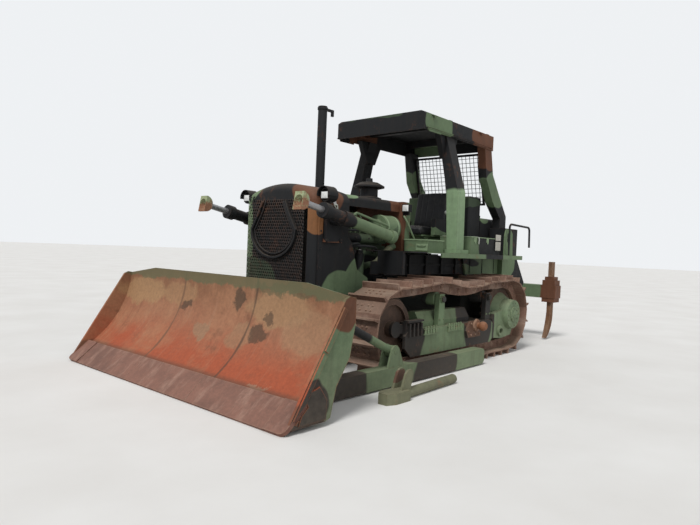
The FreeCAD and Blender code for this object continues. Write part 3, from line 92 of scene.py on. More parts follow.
class Graph:
    """A node material that is built from the top down."""

    def __init__(self, name):
        self.material = bpy.data.materials.new(name)
        self.material.use_nodes = True
        self.tree = self.material.node_tree
        self.shader = self.tree.nodes["Principled BSDF"]
        self.coords = self.tree.nodes.new("ShaderNodeTexCoord")
        self.place = self.coords.outputs["Object"]

    def node(self, kind, inputs=(), **settings):
        made = self.tree.nodes.new(kind)
        for key, value in settings.items():
            setattr(made, key, value)
        for key, value in dict(inputs).items():
            self.join(value, made.inputs[key])
        return made

    def join(self, value, socket):
        if isinstance(value, bpy.types.NodeSocket):
            self.tree.links.new(value, socket)
        elif isinstance(value, tuple) and socket.type == "RGBA":
            socket.default_value = (*value, 1)
        else:
            socket.default_value = value

    def math(self, operation, a, b=0.0):
        return self.node("ShaderNodeMath", {0: a, 1: b}, operation=operation).outputs[0]

    def times(self, a, b):
        return self.math("MULTIPLY", a, b)

    def vector(self, operation, a, b=(0, 0, 0)):
        made = self.node("ShaderNodeVectorMath", {0: a, 1: b}, operation=operation)
        return made.outputs["Value"] if operation in ("LENGTH", "DOT_PRODUCT") else made.outputs["Vector"]

    def ramp(self, value, low, high, start=0.0, end=1.0):
        made = self.node("ShaderNodeMapRange", {"Value": value, "From Min": low, "From Max": high,
                                                "To Min": start, "To Max": end})
        return made.outputs["Result"]

    def texture(self, scale, detail, place, rough):
        return self.node("ShaderNodeTexNoise", {"Vector": place or self.place, "Scale": scale,
                                                "Detail": detail, "Roughness": rough})

    def noise(self, scale, detail=4.0, place=None, rough=0.55):
        return self.texture(scale, detail, place, rough).outputs[0]

    def bent(self, scale, detail, reach, rough=0.55):
        # The place, moved by up to half the reach each way.
        bend = self.texture(scale, detail, None, rough).outputs["Color"]
        bend = self.vector("SUBTRACT", bend, (0.5, 0.5, 0.5))
        return self.vector("ADD", self.place, self.vector("MULTIPLY", bend, (reach, reach, reach)))

    def stretched(self, x, y, z):
        return self.vector("MULTIPLY", self.place, (x, y, z))

    def mix(self, share, a, b, blend="MIX"):
        made = self.node("ShaderNodeMix", data_type="RGBA", blend_type=blend)
        self.join(share, made.inputs[0])
        self.join(a, made.inputs[6])
        self.join(b, made.inputs[7])
        return made.outputs[2]

    def shaded(self, colour, shade):
        grey = self.node("ShaderNodeCombineColor", {0: shade, 1: shade, 2: shade}).outputs[0]
        return self.mix(1.0, colour, grey, "MULTIPLY")

    def axis(self, vector, index):
        return self.node("ShaderNodeSeparateXYZ", {0: vector}).outputs[index]

    def facing(self, index):
        return self.axis(self.coords.outputs["Normal"], index)

    def finish(self, colour, roughness, height=None, strength=0.4, distance=0.004, metallic=0.0):
        self.join(colour, self.shader.inputs["Base Color"])
        self.join(roughness, self.shader.inputs["Roughness"])
        self.shader.inputs["Metallic"].default_value = metallic
        if not metallic:
            self.shader.inputs["Specular IOR Level"].default_value = MATT
        if height is not None:
            bump = self.node("ShaderNodeBump", {"Height": height, "Strength": strength, "Distance": distance})
            self.join(bump.outputs[0], self.shader.inputs["Normal"])
        return self.material


def patch_share(g, place, centre, radii, soft=0.03):
    # 1 inside an ellipsoid and 0 outside it.
    away = g.vector("SUBTRACT", place, tuple(at(*centre)))
    size = g.vector("LENGTH", g.vector("DIVIDE", away, radii))
    return g.ramp(size, 1 + soft, 1 - soft)


def worn_edge(g, radius):
    # How far the surface turns away within a radius: 0 on a flat, about 1 on a sharp edge.
    rounded = g.node("ShaderNodeBevel", {"Radius": radius}, samples=4).outputs[0]
    plain = g.node("ShaderNodeNewGeometry").outputs["Normal"]
    return g.ramp(g.vector("DOT_PRODUCT", rounded, plain), 0.985, 0.9)


def weather(g, colour, rust=0.3, dust=0.3, grime=0.35, chips=0.6, chip_colour=DARK_RUST):
    """Fades, stains, dusts and chips a paint. Returns colour, roughness and bump height."""
    broad = g.noise(0.9, 3)
    fine = g.noise(17.0, 9, rough=0.65)
    shade = g.times(g.ramp(broad, 0.3, 0.7, 0.8, 1.16), g.ramp(fine, 0.3, 0.7, 0.86, 1.12))
    colour = g.shaded(colour, shade)
    streaks = g.noise(1.0, 6, g.stretched(11, 11, 0.9), 0.6)
    colour = g.mix(g.ramp(streaks, 0.52, 0.78, 0.0, grime), colour, GRIME)
    blotch = g.noise(2.6, 8, rough=0.7)
    spots = g.times(g.ramp(blotch, 0.58, 0.66), g.ramp(fine, 0.46, 0.56))
    colour = g.mix(g.times(spots, rust), colour, RUST)
    up = g.facing(2)
    lies = g.times(g.ramp(up, 0.15, 0.95), g.ramp(broad, 0.25, 0.65, 0.45, 1.0))
    low = g.ramp(g.axis(g.place, 2), 0.75, 0.05, 0.0, 0.55)
    settled = g.times(g.math("MAXIMUM", lies, low), g.ramp(fine, 0.2, 0.75, 0.35, 1.0))
    colour = g.mix(g.times(settled, dust), colour, DUST)
    flakes = g.ramp(g.noise(26.0, 5), 0.42, 0.6, 0.0, chips)
    colour = g.mix(g.times(worn_edge(g, CHIP_WIDTH), flakes), colour, chip_colour)
    rough = g.ramp(fine, 0.2, 0.8, 0.52, 0.8)
    return colour, rough, g.math("ADD", g.times(fine, 0.5), g.times(blotch, 0.5))


def painted(name, base, patches=(), wave=0.2, far_side=False, **wear):
    """Camouflage paint: a base with patches, each (colour, centre, radii), under weather."""
    g = Graph(name)
    place = g.bent(1.7, 2, wave * 2)
    colour = g.mix(0.0, base, base)
    if far_side:
        right = g.ramp(g.axis(g.place, 1), -0.25, -0.35)
        field = g.noise(0.75, 1, place)
        colour = g.mix(g.times(right, g.ramp(field, 0.52, 0.535)), colour,
                       BLACK if base != BLACK else GREEN)
        colour = g.mix(g.times(right, g.ramp(field, 0.4, 0.385)), colour, BROWN)
    for paint, centre, radii in patches:
        colour = g.mix(patch_share(g, place, centre, radii), colour, paint)
    colour, rough, height = weather(g, colour, **wear)
    return g.finish(colour, rough, height)


def rusty(name, tones=(RUST, DARK_RUST, PALE_RUST), dust=0.25, pale_edge=0.6, streak=(5, 5, 1.2)):
    """Bare steel gone rusty: three tones in blotches, with pale worn edges."""
    g = Graph(name)
    blotch = g.noise(2.2, 9, rough=0.72)
    run = g.noise(1.0, 7, g.stretched(*streak), 0.65)
    fine = g.noise(40.0, 8, rough=0.7)
    colour = g.mix(g.ramp(blotch, 0.4, 0.62), tones[0], tones[1])
    colour = g.mix(g.ramp(run, 0.5, 0.66, 0.0, 0.75), colour, tones[2])
    colour = g.shaded(colour, g.ramp(fine, 0.3, 0.7, 0.78, 1.18))
    up = g.ramp(g.facing(2), 0.2, 0.95)
    colour = g.mix(g.times(up, dust), colour, DUST)
    patchy = g.ramp(g.noise(19.0, 4), 0.36, 0.55, 0.15, pale_edge)
    colour = g.mix(g.times(worn_edge(g, WORN_WIDTH), patchy), colour, PALE_RUST)
    return g.finish(colour, g.ramp(fine, 0.2, 0.8, 0.62, 0.92), g.math("ADD", fine, blotch), 0.5)


def plain(name, colour, roughness, metallic=0.0, scale=40.0, depth=0.25):
    g = Graph(name)
    grain = g.noise(scale, 6)
    tone = g.ramp(grain, 0.3, 0.7, 0.85, 1.12)
    rough = g.ramp(grain, 0.3, 0.7, roughness * 0.85, min(1.0, roughness * 1.15))
    return g.finish(g.shaded(colour, tone), rough, grain, depth, 0.002, metallic)


# Stains on the moldboard's face: tone, share, centre and radii
BLADE_STAINS = (
    ((0.33, 0.2, 0.1), 0.7, (4.3, -1.4, 0.83), (0.3, 0.46, 0.15)),
    ((0.3, 0.175, 0.09), 0.6, (4.31, -0.66, 0.86), (0.3, 0.32, 0.12)),
    ((0.3, 0.18, 0.095), 0.75, (4.29, 0.95, 0.84), (0.3, 0.42, 0.18)),
    ((0.29, 0.17, 0.095), 0.6, (4.35, 1.4, 0.66), (0.3, 0.3, 0.2)),
    ((0.27, 0.16, 0.09), 0.6, (4.4, 0.55, 0.52), (0.3, 0.16, 0.13)),
    ((0.26, 0.155, 0.092), 0.8, (4.43, -0.07, 0.515), (0.3, 0.15, 0.07)),
    ((0.062, 0.04, 0.026), 0.75, (4.32, -0.48, 0.735), (0.3, 0.095, 0.055)),
    ((0.07, 0.044, 0.028), 0.8, (4.39, 0.78, 0.575), (0.3, 0.15, 0.085)),
    ((0.07, 0.044, 0.028), 0.7, (4.32, 0.86, 0.735), (0.3, 0.07, 0.035)),
    ((0.05, 0.036, 0.024), 0.75, (4.3, 0.38, 0.86), (0.3, 0.08, 0.11)),
    ((0.07, 0.075, 0.04), 0.6, (4.27, 1.15, 1.01), (0.3, 0.6, 0.06)),
    ((0.36, 0.215, 0.14), 0.7, (4.7, 1.17, 0.215), (0.3, 0.12, 0.03)))


def blade_material():
    """Rusty moldboard face with tan and dark stains and two weld seams; camouflage on its back and ends."""
    g = Graph("blade")
    blotch = g.noise(1.5, 7, rough=0.62)
    stain = g.noise(3.4, 8, rough=0.7, place=g.vector("ADD", g.place, (5.0, 2.0, 0.0)))
    run = g.noise(1.0, 8, g.stretched(0.6, 13, 0.9), 0.7)
    fine = g.noise(30.0, 8, rough=0.7)
    height = g.math("ADD", g.axis(g.place, 2), g.ramp(stain, 0.3, 0.7, -0.06, 0.06))
    rust = g.mix(g.ramp(height, 0.3, 0.62), (0.32, 0.078, 0.036), (0.275, 0.118, 0.066))
    rust = g.mix(g.ramp(height, 0.62, 0.95), rust, (0.205, 0.098, 0.052))
    rust = g.mix(g.ramp(blotch, 0.46, 0.6, 0.0, 0.6), rust, (0.33, 0.165, 0.09))
    rust = g.mix(g.ramp(stain, 0.58, 0.66, 0.0, 0.5), rust, (0.15, 0.064, 0.036))
    rust = g.mix(g.ramp(run, 0.56, 0.74, 0.0, 0.5), rust, (0.38, 0.205, 0.125))
    rust = g.mix(g.ramp(run, 0.42, 0.28, 0.0, 0.5), rust, (0.16, 0.062, 0.036))
    torn = g.bent(6.0, 6, 0.3, 0.65)
    for tone, share, centre, radii in BLADE_STAINS:
        inside = g.times(patch_share(g, torn, centre, radii, 0.14), share)
        rust = g.mix(inside, rust, tone)
    rust = g.shaded(rust, g.ramp(fine, 0.3, 0.7, 0.8, 1.16))
    for seam, tone in ((-0.61, (0.13, 0.07, 0.042)), (0.61, (0.075, 0.045, 0.03))):
        line = g.math("ABSOLUTE", g.math("SUBTRACT", g.axis(g.place, 1), seam))
        line = g.math("ADD", line, g.ramp(stain, 0.3, 0.7, -0.008, 0.012))
        rust = g.mix(g.ramp(line, 0.022, 0.006, 0.0, 0.75), rust, tone)
    rust = g.mix(g.ramp(height, 0.975, 0.995, 0.0, 0.8), rust, (0.105, 0.105, 0.055))
    foot = g.ramp(g.axis(g.place, 2), 0.235, 0.205, 0.0, 0.6)
    rust = g.mix(foot, rust, (0.075, 0.052, 0.036))
    place = g.bent(2.2, 2, 0.25)
    paint = g.mix(g.ramp(g.noise(0.8, 1, place), 0.5, 0.515), GREEN, BLACK)
    for tone, centre, radii in ((GREEN, (4.62, 1.83, 0.45), (0.5, 0.3, 0.6)),
                                (BROWN, (4.36, 1.83, 0.97), (0.2, 0.3, 0.25)),
                                (BLACK, (4.8, 1.83, 0.14), (0.3, 0.1, 0.28)),
                                (GREEN, (4.62, -1.83, 0.6), (0.5, 0.3, 0.6))):
        paint = g.mix(patch_share(g, place, centre, radii), paint, tone)
    paint = weather(g, paint, dust=0.35, rust=0.5)[0]
    front = g.ramp(g.facing(0), 0.1, 0.2)
    inward = g.times(g.facing(1), g.axis(g.place, 1))
    front = g.math("MAXIMUM", front, g.ramp(inward, -0.8, -1.2))
    worn = g.times(worn_edge(g, 0.014), g.ramp(fine, 0.35, 0.6, 0.2, 0.8))
    colour = g.mix(g.math("MAXIMUM", front, worn), paint, rust)
    return g.finish(colour, g.ramp(fine, 0.2, 0.8, 0.55, 0.85), g.math("ADD", fine, stain), 0.45, 0.004)


def vinyl():
    g = Graph("vinyl")
    cells = g.node("ShaderNodeTexVoronoi", {"Vector": g.place, "Scale": 260.0}).outputs["Distance"]
    worn = g.noise(9.0, 5)
    colour = g.mix(g.ramp(worn, 0.45, 0.7, 0.0, 0.35), VINYL, (0.07, 0.068, 0.062))
    up = g.ramp(g.facing(2), 0.5, 1.0, 0.0, 0.25)
    colour = g.mix(up, colour, (0.16, 0.14, 0.115))
    return g.finish(colour, g.ramp(worn, 0.3, 0.7, 0.42, 0.62), cells, 0.25, 0.001)


M = {
    "green": painted("green", GREEN),
    "black": painted("black", BLACK, dust=0.1, grime=0.15, chip_colour=(0.07, 0.06, 0.05)),
    "rust": rusty("rust"),
    "greasy": painted("greasy", (0.03, 0.03, 0.026), rust=0.5, dust=0.35, chips=0.3),
    "steel": plain("steel", BARE_STEEL, 0.42, 0.75),
    "vinyl": vinyl(),
    # the lenses' white is a painted highlight
    "lens": plain("lens", LENS, 0.15, 0.0, 220.0, 0.5),
    "plate": plain("plate", PLATE, 0.5),
    "tracks": rusty("tracks", ((0.205, 0.118, 0.085), (0.11, 0.062, 0.045), (0.285, 0.2, 0.155)), 0.3, 0.8,
                    (4, 1.5, 4)),
    "wheels": rusty("wheels", ((0.095, 0.058, 0.042), (0.045, 0.032, 0.025), (0.165, 0.105, 0.075)), 0.15),
    "shanks": rusty("shanks", ((0.15, 0.072, 0.035), (0.085, 0.042, 0.024), (0.24, 0.15, 0.095))),
    "edges": rusty("edges", ((0.205, 0.092, 0.068), (0.125, 0.058, 0.046), (0.29, 0.165, 0.125)), 0.12, 0.7,
                   (3, 9, 3)),
    "rubber": plain("rubber", (0.016, 0.016, 0.017), 0.55),
    "pale": plain("pale", (0.5, 0.52, 0.46), 0.6),
    "light_green": painted("light_green", (0.235, 0.32, 0.19), dust=0.2, rust=0.2),
}


def coat(node, material):
    for slot in NODES[node].material_slots:
        slot.material = material


def coat_of(node):
    return NODES[node].material_slots[0].material


# Paint of each node: base and patches (colour, centre, radii), as points from the sprocket axle
PAINTS = {
    "radiator_guard": (BLACK, (
        (BROWN, (3.45, 0.62, 2.05), (0.42, 0.42, 0.32)),
        (ORANGE_BROWN, (3.5, 0.6, 1.72), (0.2, 0.22, 0.17)),
        (GREEN, (3.35, -0.74, 1.5), (0.7, 0.27, 1.1)),
        (GREEN, (3.35, -0.63, 2.12), (0.6, 0.31, 0.22)),
        (GREEN, (3.02, 0.6, 0.9), (0.34, 0.12, 0.27)),
        (GREEN, (2.68, 0.6, 1.02), (0.29, 0.12, 0.31)))),
    "grille": (BLACK, ()),
    "hood": (BLACK, (
        # the hood's top patch of green, in the lit colour: painted light on real green paint
        (SUNLIT_GREEN, (2.86, 0.3, 2.06), (0.28, 0.6, 0.055)),
        (BROWN, (1.78, 0.35, 2.05), (0.19, 0.35, 0.3)),
        (GREEN, (2.3, -0.4, 2.05), (0.35, 0.28, 0.2)))),
    "engine": (DARK_GREEN, ((BLACK, (2.1, 0.2, 1.0), (0.6, 0.5, 0.35)),
        (BLACK, (2.8, 0.3, 1.3), (0.3, 0.4, 0.5)))),
    "engine_pipes": ((0.085, 0.12, 0.07), (
        (BLACK, (2.72, 0.33, 1.45), (0.3, 0.25, 0.4)),
        (GREEN, (2.1, 0.45, 1.82), (0.16, 0.2, 0.16)),
        ((0.165, 0.17, 0.105), (2.08, 0.42, 1.36), (0.25, 0.1, 0.14)),
        (BLACK, (2.3, -0.3, 1.3), (0.5, 0.2, 0.3)))),
    "dash_cowl": (BROWN, ((GREEN, (1.6, 0.46, 1.7), (0.06, 0.06, 0.6)),
        (BLACK, (1.49, 0.0, 1.85), (0.07, 0.42, 0.4)))),
    "platform": (GREEN, ((BLACK, (2.36, 0.8, 1.25), (0.5, 0.6, 0.3)),
        (BLACK, (0.36, 1.1, 1.39), (0.28, 0.12, 0.2)),
        # painted shade: black under the deck's side edge, where the shadow between deck and hull falls
        (BLACK, (1.12, 0.46, 1.24), (0.58, 0.1, 0.22)),
        (BLACK, (0.4, 0.0, 1.3), (0.75, 0.8, 0.1)))),
    "deck_boxes": (GREEN, ((BLACK, (0.05, 0.95, 1.52), (0.55, 0.5, 0.4)),
        (BLACK, (-0.64, 0.73, 1.75), (0.5, 0.3, 0.6)),
        (BLACK, (2.2, 0.6, 1.2), (0.6, 0.35, 0.3)))),
    "seat_base": (GREEN, ((BLACK, (0.63, 0.4, 1.84), (0.4, 0.12, 0.12)),
        (BLACK, (0.63, -0.4, 1.84), (0.4, 0.12, 0.12)),
        (BLACK, (0.66, 0.0, 1.55), (0.26, 0.26, 0.05)))),
    "fuel_tank": (BLACK, ((GREEN, (-0.3, 0.35, 2.02), (0.22, 0.3, 0.12)),
        (GREEN, (-0.9, -0.3, 1.6), (0.3, 0.4, 0.3)))),
    "rear_fittings": (GREEN, ((BLACK, (-0.7, 0.99, 1.85), (0.6, 0.055, 0.7)),
        (BLACK, (-0.7, -0.99, 1.85), (0.6, 0.055, 0.7)))),
    "canopy_posts": (BLACK, (
        # the near front posts' lower part, in the lit green: painted light on real green paint
        (SUNLIT_GREEN, (1.1, 0.9, 1.8), (0.4, 0.35, 0.49)),
        (GREEN, (1.1, -0.9, 1.75), (0.4, 0.35, 0.4)),
        (BROWN, (-0.05, 0.68, 3.0), (0.42, 0.24, 0.31)),
        (GREEN, (-0.32, 0.68, 2.44), (0.42, 0.24, 0.27)),
        (GREEN, (-0.32, -0.68, 2.6), (0.42, 0.24, 0.24)))),
    "canopy": (BLACK, (
        (GREEN, (1.42, 0.8, 3.14), (0.33, 0.2, 0.36)),
        (BROWN, (0.1, 0.8, 3.12), (0.43, 0.3, 0.4)),
        (DARK_GREEN, (1.4, -0.1, 3.26), (0.6, 0.6, 0.06)),
        (GREEN, (-0.12, -0.3, 3.1), (0.2, 0.4, 0.3)),
        (BROWN, (1.2, -0.8, 3.1), (0.4, 0.16, 0.3)))),
    "cylinder_yokes": (BROWN, ((BLACK, (3.25, 0.66, 1.66), (0.3, 0.14, 0.2)),)),
    "lift_barrel_left": (GREEN, ((BLACK, (3.5, 0.8, 1.78), (0.4, 0.4, 0.4)),)),
    "lift_barrel_right": (BLACK, ()),
    "track_frame_left": (GREEN, (
        (BLACK, (2.66, 1.1, 0.48), (0.47, 0.4, 0.5)),
        (BLACK, (0.93, 1.1, 0.5), (0.4, 0.4, 0.5)),
        (DARK_RUST, (1.11, 1.27, 0.44), (0.26, 0.072, 0.2)),
        (RUST, (1.05, 1.34, 0.48), (0.1, 0.1, 0.1)))),
    "track_frame_right": (GREEN, (
        (BLACK, (2.1, -1.1, 0.48), (0.4, 0.4, 0.5)),
        (BROWN, (0.9, -1.1, 0.5), (0.3, 0.4, 0.4)),
        (DARK_RUST, (1.11, -1.27, 0.44), (0.26, 0.072, 0.2)),
        (RUST, (1.05, -1.34, 0.48), (0.1, 0.1, 0.1)))),
    # painted shade: the narrow black strip at x 0.52 darkens the gap between the drive and the track frame
    "final_drives": ((0.15, 0.205, 0.118), ((BLACK, (0.52, 1.15, 0.42), (0.07, 0.2, 0.4)),
        (BLACK, (0.1, -1.16, 0.45), (0.3, 0.2, 0.4)))),
    "track_rollers": ((0.028, 0.028, 0.026), (
        (GREEN, (1.8, 1.12, 0.72), (0.16, 0.16, 0.3)),
        (GREEN, (1.8, -1.12, 0.72), (0.16, 0.16, 0.3)))),
    "push_arms": (GREEN, ((BLACK, (2.27, 1.34, 0.12), (0.48, 0.3, 0.34)),
        (BLACK, (3.9, 1.34, 0.12), (0.4, 0.3, 0.34)),
        (BROWN, (2.9, -1.34, 0.12), (0.5, 0.3, 0.34)))),
    "blade_braces": (GREEN, ((BLACK, (4.06, 1.34, 0.8), (0.66, 0.3, 0.6)),
        (BLACK, (3.6, -1.34, 0.6), (0.3, 0.2, 0.4)))),
    "loose_brace": ((0.12, 0.13, 0.075), ((RUST, (2.38, 1.7, 0.05), (0.05, 0.08, 0.08)),
        (DARK_RUST, (3.35, 1.7, 0.2), (0.1, 0.05, 0.06)))),
    "ripper_mount": (BLACK, ((GREEN, (-0.7, 0.76, 1.25), (0.3, 0.1, 0.25)),
        (GREEN, (-0.7, -0.76, 1.1), (0.3, 0.1, 0.35)))),
    "ripper_beam": (BROWN, ((GREEN, (-1.95, 0.56, 0.82), (0.4, 0.31, 0.4)),
        (BLACK, (-1.9, 0.0, 0.85), (0.3, 0.26, 0.3)),
        (GREEN, (-1.95, -0.62, 0.85), (0.4, 0.24, 0.4)))),
    "exhaust_stack": (BLACK, ()),
    "ripper_lower_links": (BLACK, ((GREEN, (-1.3, 0.48, 0.6), (0.25, 0.2, 0.2)),)),
    "ripper_upper_links": (GREEN, ((BLACK, (-1.4, 0.48, 1.0), (0.25, 0.2, 0.2)),)),
    "ripper_barrels": (BLACK, ()),
    "hull": ((0.024, 0.026, 0.022), ((DARK_GREEN, (2.9, 0.3, 0.6), (0.3, 0.3, 0.3)),)),
    "lamps": (BLACK, ((BROWN, (3.36, -0.73, 1.93), (0.12, 0.12, 0.06)),)),
    "pre_cleaner": (BLACK, ()),
    "levers": (BLACK, ()),
    "rear_screen": (BLACK, ()),
}
# Dust and rust on the parts near the ground, and on the rest
LOWER = ("final_drives", "hull", "track_rollers", "track_frame", "push", "loose")
LOWER_WEAR = (0.26, 0.55)
UPPER_WEAR = (0.12, 0.3)
for node, (base, patches) in PAINTS.items():
    dust, rust = LOWER_WEAR if node.startswith(LOWER) else UPPER_WEAR
    coat(node, painted(node, base, patches, far_side=base == GREEN, dust=dust, rust=rust, wave=0.1))
for node, key in (("track_left", "tracks"), ("track_right", "tracks"), ("track_wheels", "wheels"),
                  ("cutting_edges", "edges"), ("ripper_shanks", "shanks"), ("ripper_rods", "steel")):
    coat(node, M[key])
coat("moldboard", blade_material())


# Where the lift rods' sockets begin, and the height of their middle
SOCKET_X = 3.885
SOCKET_Z = 1.875


def rod_material():
    # Bare rod steel, with rusty flaking paint on the socket at its end.
    g = Graph("lift_rod")
    fine = g.noise(38.0, 6)
    end = g.ramp(g.axis(g.place, 0), SOCKET_X - 0.02 - AXLE_TO_MIDDLE, SOCKET_X - AXLE_TO_MIDDLE)
    upper = g.ramp(g.axis(g.place, 2), SOCKET_Z - 0.03, SOCKET_Z + 0.03, -0.09, 0.09)
    flakes = g.ramp(g.math("ADD", g.noise(9.0, 6, rough=0.7), upper), 0.46, 0.54)
    scaly = g.mix(flakes, (0.24, 0.12, 0.07), (0.29, 0.33, 0.19))
    colour = g.shaded(g.mix(end, (0.3, 0.295, 0.3), scaly), g.ramp(fine, 0.3, 0.7, 0.8, 1.15))
    material = g.finish(colour, g.ramp(end, 0, 1, 0.38, 0.8), fine, 0.3, 0.003)
    g.join(g.ramp(end, 0, 1, 0.7, 0.0), g.shader.inputs["Metallic"])
    return material


for node in ("lift_rod_left", "lift_rod_right"):
    coat(node, rod_material())


# Shapes: edges that turn more than these angles are rounded and shown sharp
ROUNDED_FROM = math.radians(40)
SHARP_FROM = math.radians(35)
LEFT, UP = (0, 1, 0), (0, 0, 1)


def turned(count):
    # Equal turns round a circle.
    return [2 * math.pi * i / count for i in range(count)]


class Piece:
    """Collects the points and faces of one piece, with points as at() takes them."""

    def __init__(self):
        self.points = []
        self.faces = []

    def add(self, points, faces):
        first = len(self.points)
        self.points += [Vector(p) for p in points]
        self.faces += [[first + i for i in face] for face in faces]
        return self

    def rings(self, rings):
        # Joins rings of equally many points, in order, into a closed skin.
        count = len(rings[0])
        faces = []
        for r in range(len(rings) - 1):
            for i in range(count):
                j = (i + 1) % count
                faces.append([r * count + i, r * count + j, (r + 1) * count + j, (r + 1) * count + i])
        faces.append(list(range(count))[::-1])
        faces.append([(len(rings) - 1) * count + i for i in range(count)])
        return self.add([p for ring in rings for p in ring], faces)

    def lathe(self, start, direction, profile, sides=24):
        # A turned shape: profile of (distance along the axis, radius).
        along = Vector(direction).normalized()
        side = along.orthogonal().normalized()
        up = along.cross(side)
        rings = []
        for distance, radius in profile:
            middle = Vector(start) + along * distance
            rings.append([middle + (side * math.cos(a) + up * math.sin(a)) * radius for a in turned(sides)])
        return self.rings(rings)

    def rod(self, start, end, radius, sides=16):
        run = Vector(end) - Vector(start)
        return self.lathe(start, run, [(0, radius), (run.length, radius)], sides)

    def hexes(self, points, axis, radius, height):
        # Bolt heads with washers.
        for p in points:
            self.lathe(p, axis, [(-0.002, radius * 1.25), (0.003, radius * 1.25), (0.003, radius),
                                 (height * 0.8, radius), (height, radius * 0.8)], 6)
        return self

    def box(self, low, high):
        (x0, y0, z0), (x1, y1, z1) = low, high
        return self.rings([[(x, y0, z0), (x, y1, z0), (x, y1, z1), (x, y0, z1)] for x in (x0, x1)])

    def slab(self, outline, shift):
        # A flat outline of points made thick by a shift.
        shift = Vector(shift)
        return self.rings([[Vector(p) for p in outline], [Vector(p) + shift for p in outline]])

    def tube(self, points, radius, sides=10, steps=6):
        # A bent pipe through points, rounded by a smooth curve.
        points = [Vector(p) for p in points]
        line = smooth(points, steps) if len(points) > 2 else points
        rings = []
        side = (line[1] - line[0]).normalized().orthogonal().normalized()
        for i, p in enumerate(line):
            before, after = line[max(0, i - 1)], line[min(len(line) - 1, i + 1)]
            along = (after - before).normalized()
            side = (side - along * side.dot(along)).normalized()
            up = along.cross(side)
            rings.append([p + (side * math.cos(a) + up * math.sin(a)) * radius for a in turned(sides)])
        return self.rings(rings)

    def mirrored(self):
        # Adds the same on the other side.
        return self.add([(x, -y, z) for x, y, z in self.points], [face[::-1] for face in self.faces])

    def done(self, name, material, slot="black_paint", rounding=0):
        mesh = bpy.data.meshes.new(name)
        mesh.from_pydata([at(*p) for p in self.points], [], self.faces)
        mesh.validate()
        tidy(mesh)
        mesh.materials.append(material if isinstance(material, bpy.types.Material) else M[material])
        piece = placed(name, mesh)
        if rounding:
            edge = piece.modifiers.new("rounding", "BEVEL")
            edge.width = rounding
            edge.segments = 2
            edge.limit_method = "ANGLE"
            edge.angle_limit = ROUNDED_FROM
        mesh.polygons.foreach_set("use_smooth", [True] * len(mesh.polygons))
        mesh.set_sharp_from_angle(angle=SHARP_FROM)
        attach(piece, TRACTOR)
        return piece


def tidy(mesh):
    # Faces outward.
    shape = bmesh.new()
    shape.from_mesh(mesh)
    bmesh.ops.recalc_face_normals(shape, faces=shape.faces)
    shape.to_mesh(mesh)
    shape.free()


def smooth(points, steps):
    # A Catmull-Rom curve through the points.
    ends = [points[0] * 2 - points[1]] + points + [points[-1] * 2 - points[-2]]
    line = []
    for a, b, c, d in zip(ends, ends[1:], ends[2:], ends[3:]):
        for i in range(steps):
            t = i / steps
            line.append(0.5 * (b * 2 + (c - a) * t + (a * 2 - b * 5 + c * 4 - d) * t * t
                               + (b * 3 - a - c * 3 + d) * t ** 3))
    line.append(points[-1])
    return line


# Tracks: the pin line as the frame's tracks have it
PIN_GROUND = 0.135
SPROCKET_R = 0.434
IDLER_R = 0.405
IDLER_X = 2.718
SHOES = 38
CARRIERS = ((1.8, PIN_GROUND + 2 * IDLER_R + 0.066), (0.6, PIN_GROUND + 2 * IDLER_R + 0.046))
SAGS = (0.014, 0.078, 0.012)
SHOE_OUT = 0.07
LINK_ROW = 0.075
LINK_WIDTH = 0.046
ARC_STEPS = 60
SPAN_STEPS = 24
SHOE_BOLTS_ALONG = (0.042, 0.104)
SHOE_BOLTS_ACROSS = (-LINK_ROW - 0.03, -LINK_ROW + 0.03, LINK_ROW - 0.03, LINK_ROW + 0.03)
BOSS_PROFILE = [(0, 0.036), (0.01, 0.034), (0.012, 0.02), (0.018, 0.019)]


def pin_line():
    points = [(0.0, PIN_GROUND)]
    for i in range(ARC_STEPS):
        a = math.radians(-90 + 180 / ARC_STEPS * i)
        points.append((IDLER_X + IDLER_R * math.cos(a), PIN_GROUND + IDLER_R + IDLER_R * math.sin(a)))
    stops = [(IDLER_X, PIN_GROUND + 2 * IDLER_R), *CARRIERS, (0.0, PIN_GROUND + 2 * SPROCKET_R)]
    for (x0, z0), (x1, z1), sag in zip(stops, stops[1:], SAGS):
        for i in range(SPAN_STEPS):
            t = i / SPAN_STEPS
            points.append((x0 + (x1 - x0) * t, z0 + (z1 - z0) * t - 4 * sag * t * (1 - t)))
    for i in range(ARC_STEPS):
        a = math.radians(90 + 180 / ARC_STEPS * i)
        points.append((SPROCKET_R * math.cos(a), PIN_GROUND + SPROCKET_R + SPROCKET_R * math.sin(a)))
    return points


def track_pins():
    line = pin_line()
    ring = line + line[:1]
    lengths = [math.dist(a, b) for a, b in zip(ring, ring[1:])]
    step = sum(lengths) / SHOES
    pins, walked, want = [], 0.0, step / 2
    for a, b, length in zip(ring, ring[1:], lengths):
        while want <= walked + length and len(pins) < SHOES:
            t = (want - walked) / length
            pins.append((a[0] + (b[0] - a[0]) * t, a[1] + (b[1] - a[1]) * t))
            want += step
        walked += length
    return pins


PINS = track_pins()


def track_dress():
    bolts, bosses = Piece(), Piece()
    for i, a in enumerate(PINS):
        b = PINS[(i + 1) % SHOES]
        length = math.dist(a, b)
        tx, tz = (b[0] - a[0]) / length, (b[1] - a[1]) / length
        for along in SHOE_BOLTS_ALONG:
            for y in SHOE_BOLTS_ACROSS:
                p = (a[0] + tx * along + tz * SHOE_OUT, TRACK_Y + y, a[1] + tz * along - tx * SHOE_OUT)
                bolts.hexes([p], (tz, 0, -tx), 0.013, 0.013)
        for side in (-1, 1):
            y = TRACK_Y + side * (LINK_ROW + LINK_WIDTH / 2)
            bosses.lathe((a[0], y - side * 0.002, a[1]), (0, side, 0), BOSS_PROFILE, 12)
    bolts.mirrored().done("shoe_bolts", "tracks", slot="track_steel")
    bosses.mirrored().done("link_bosses", "tracks", slot="track_steel")


track_dress()


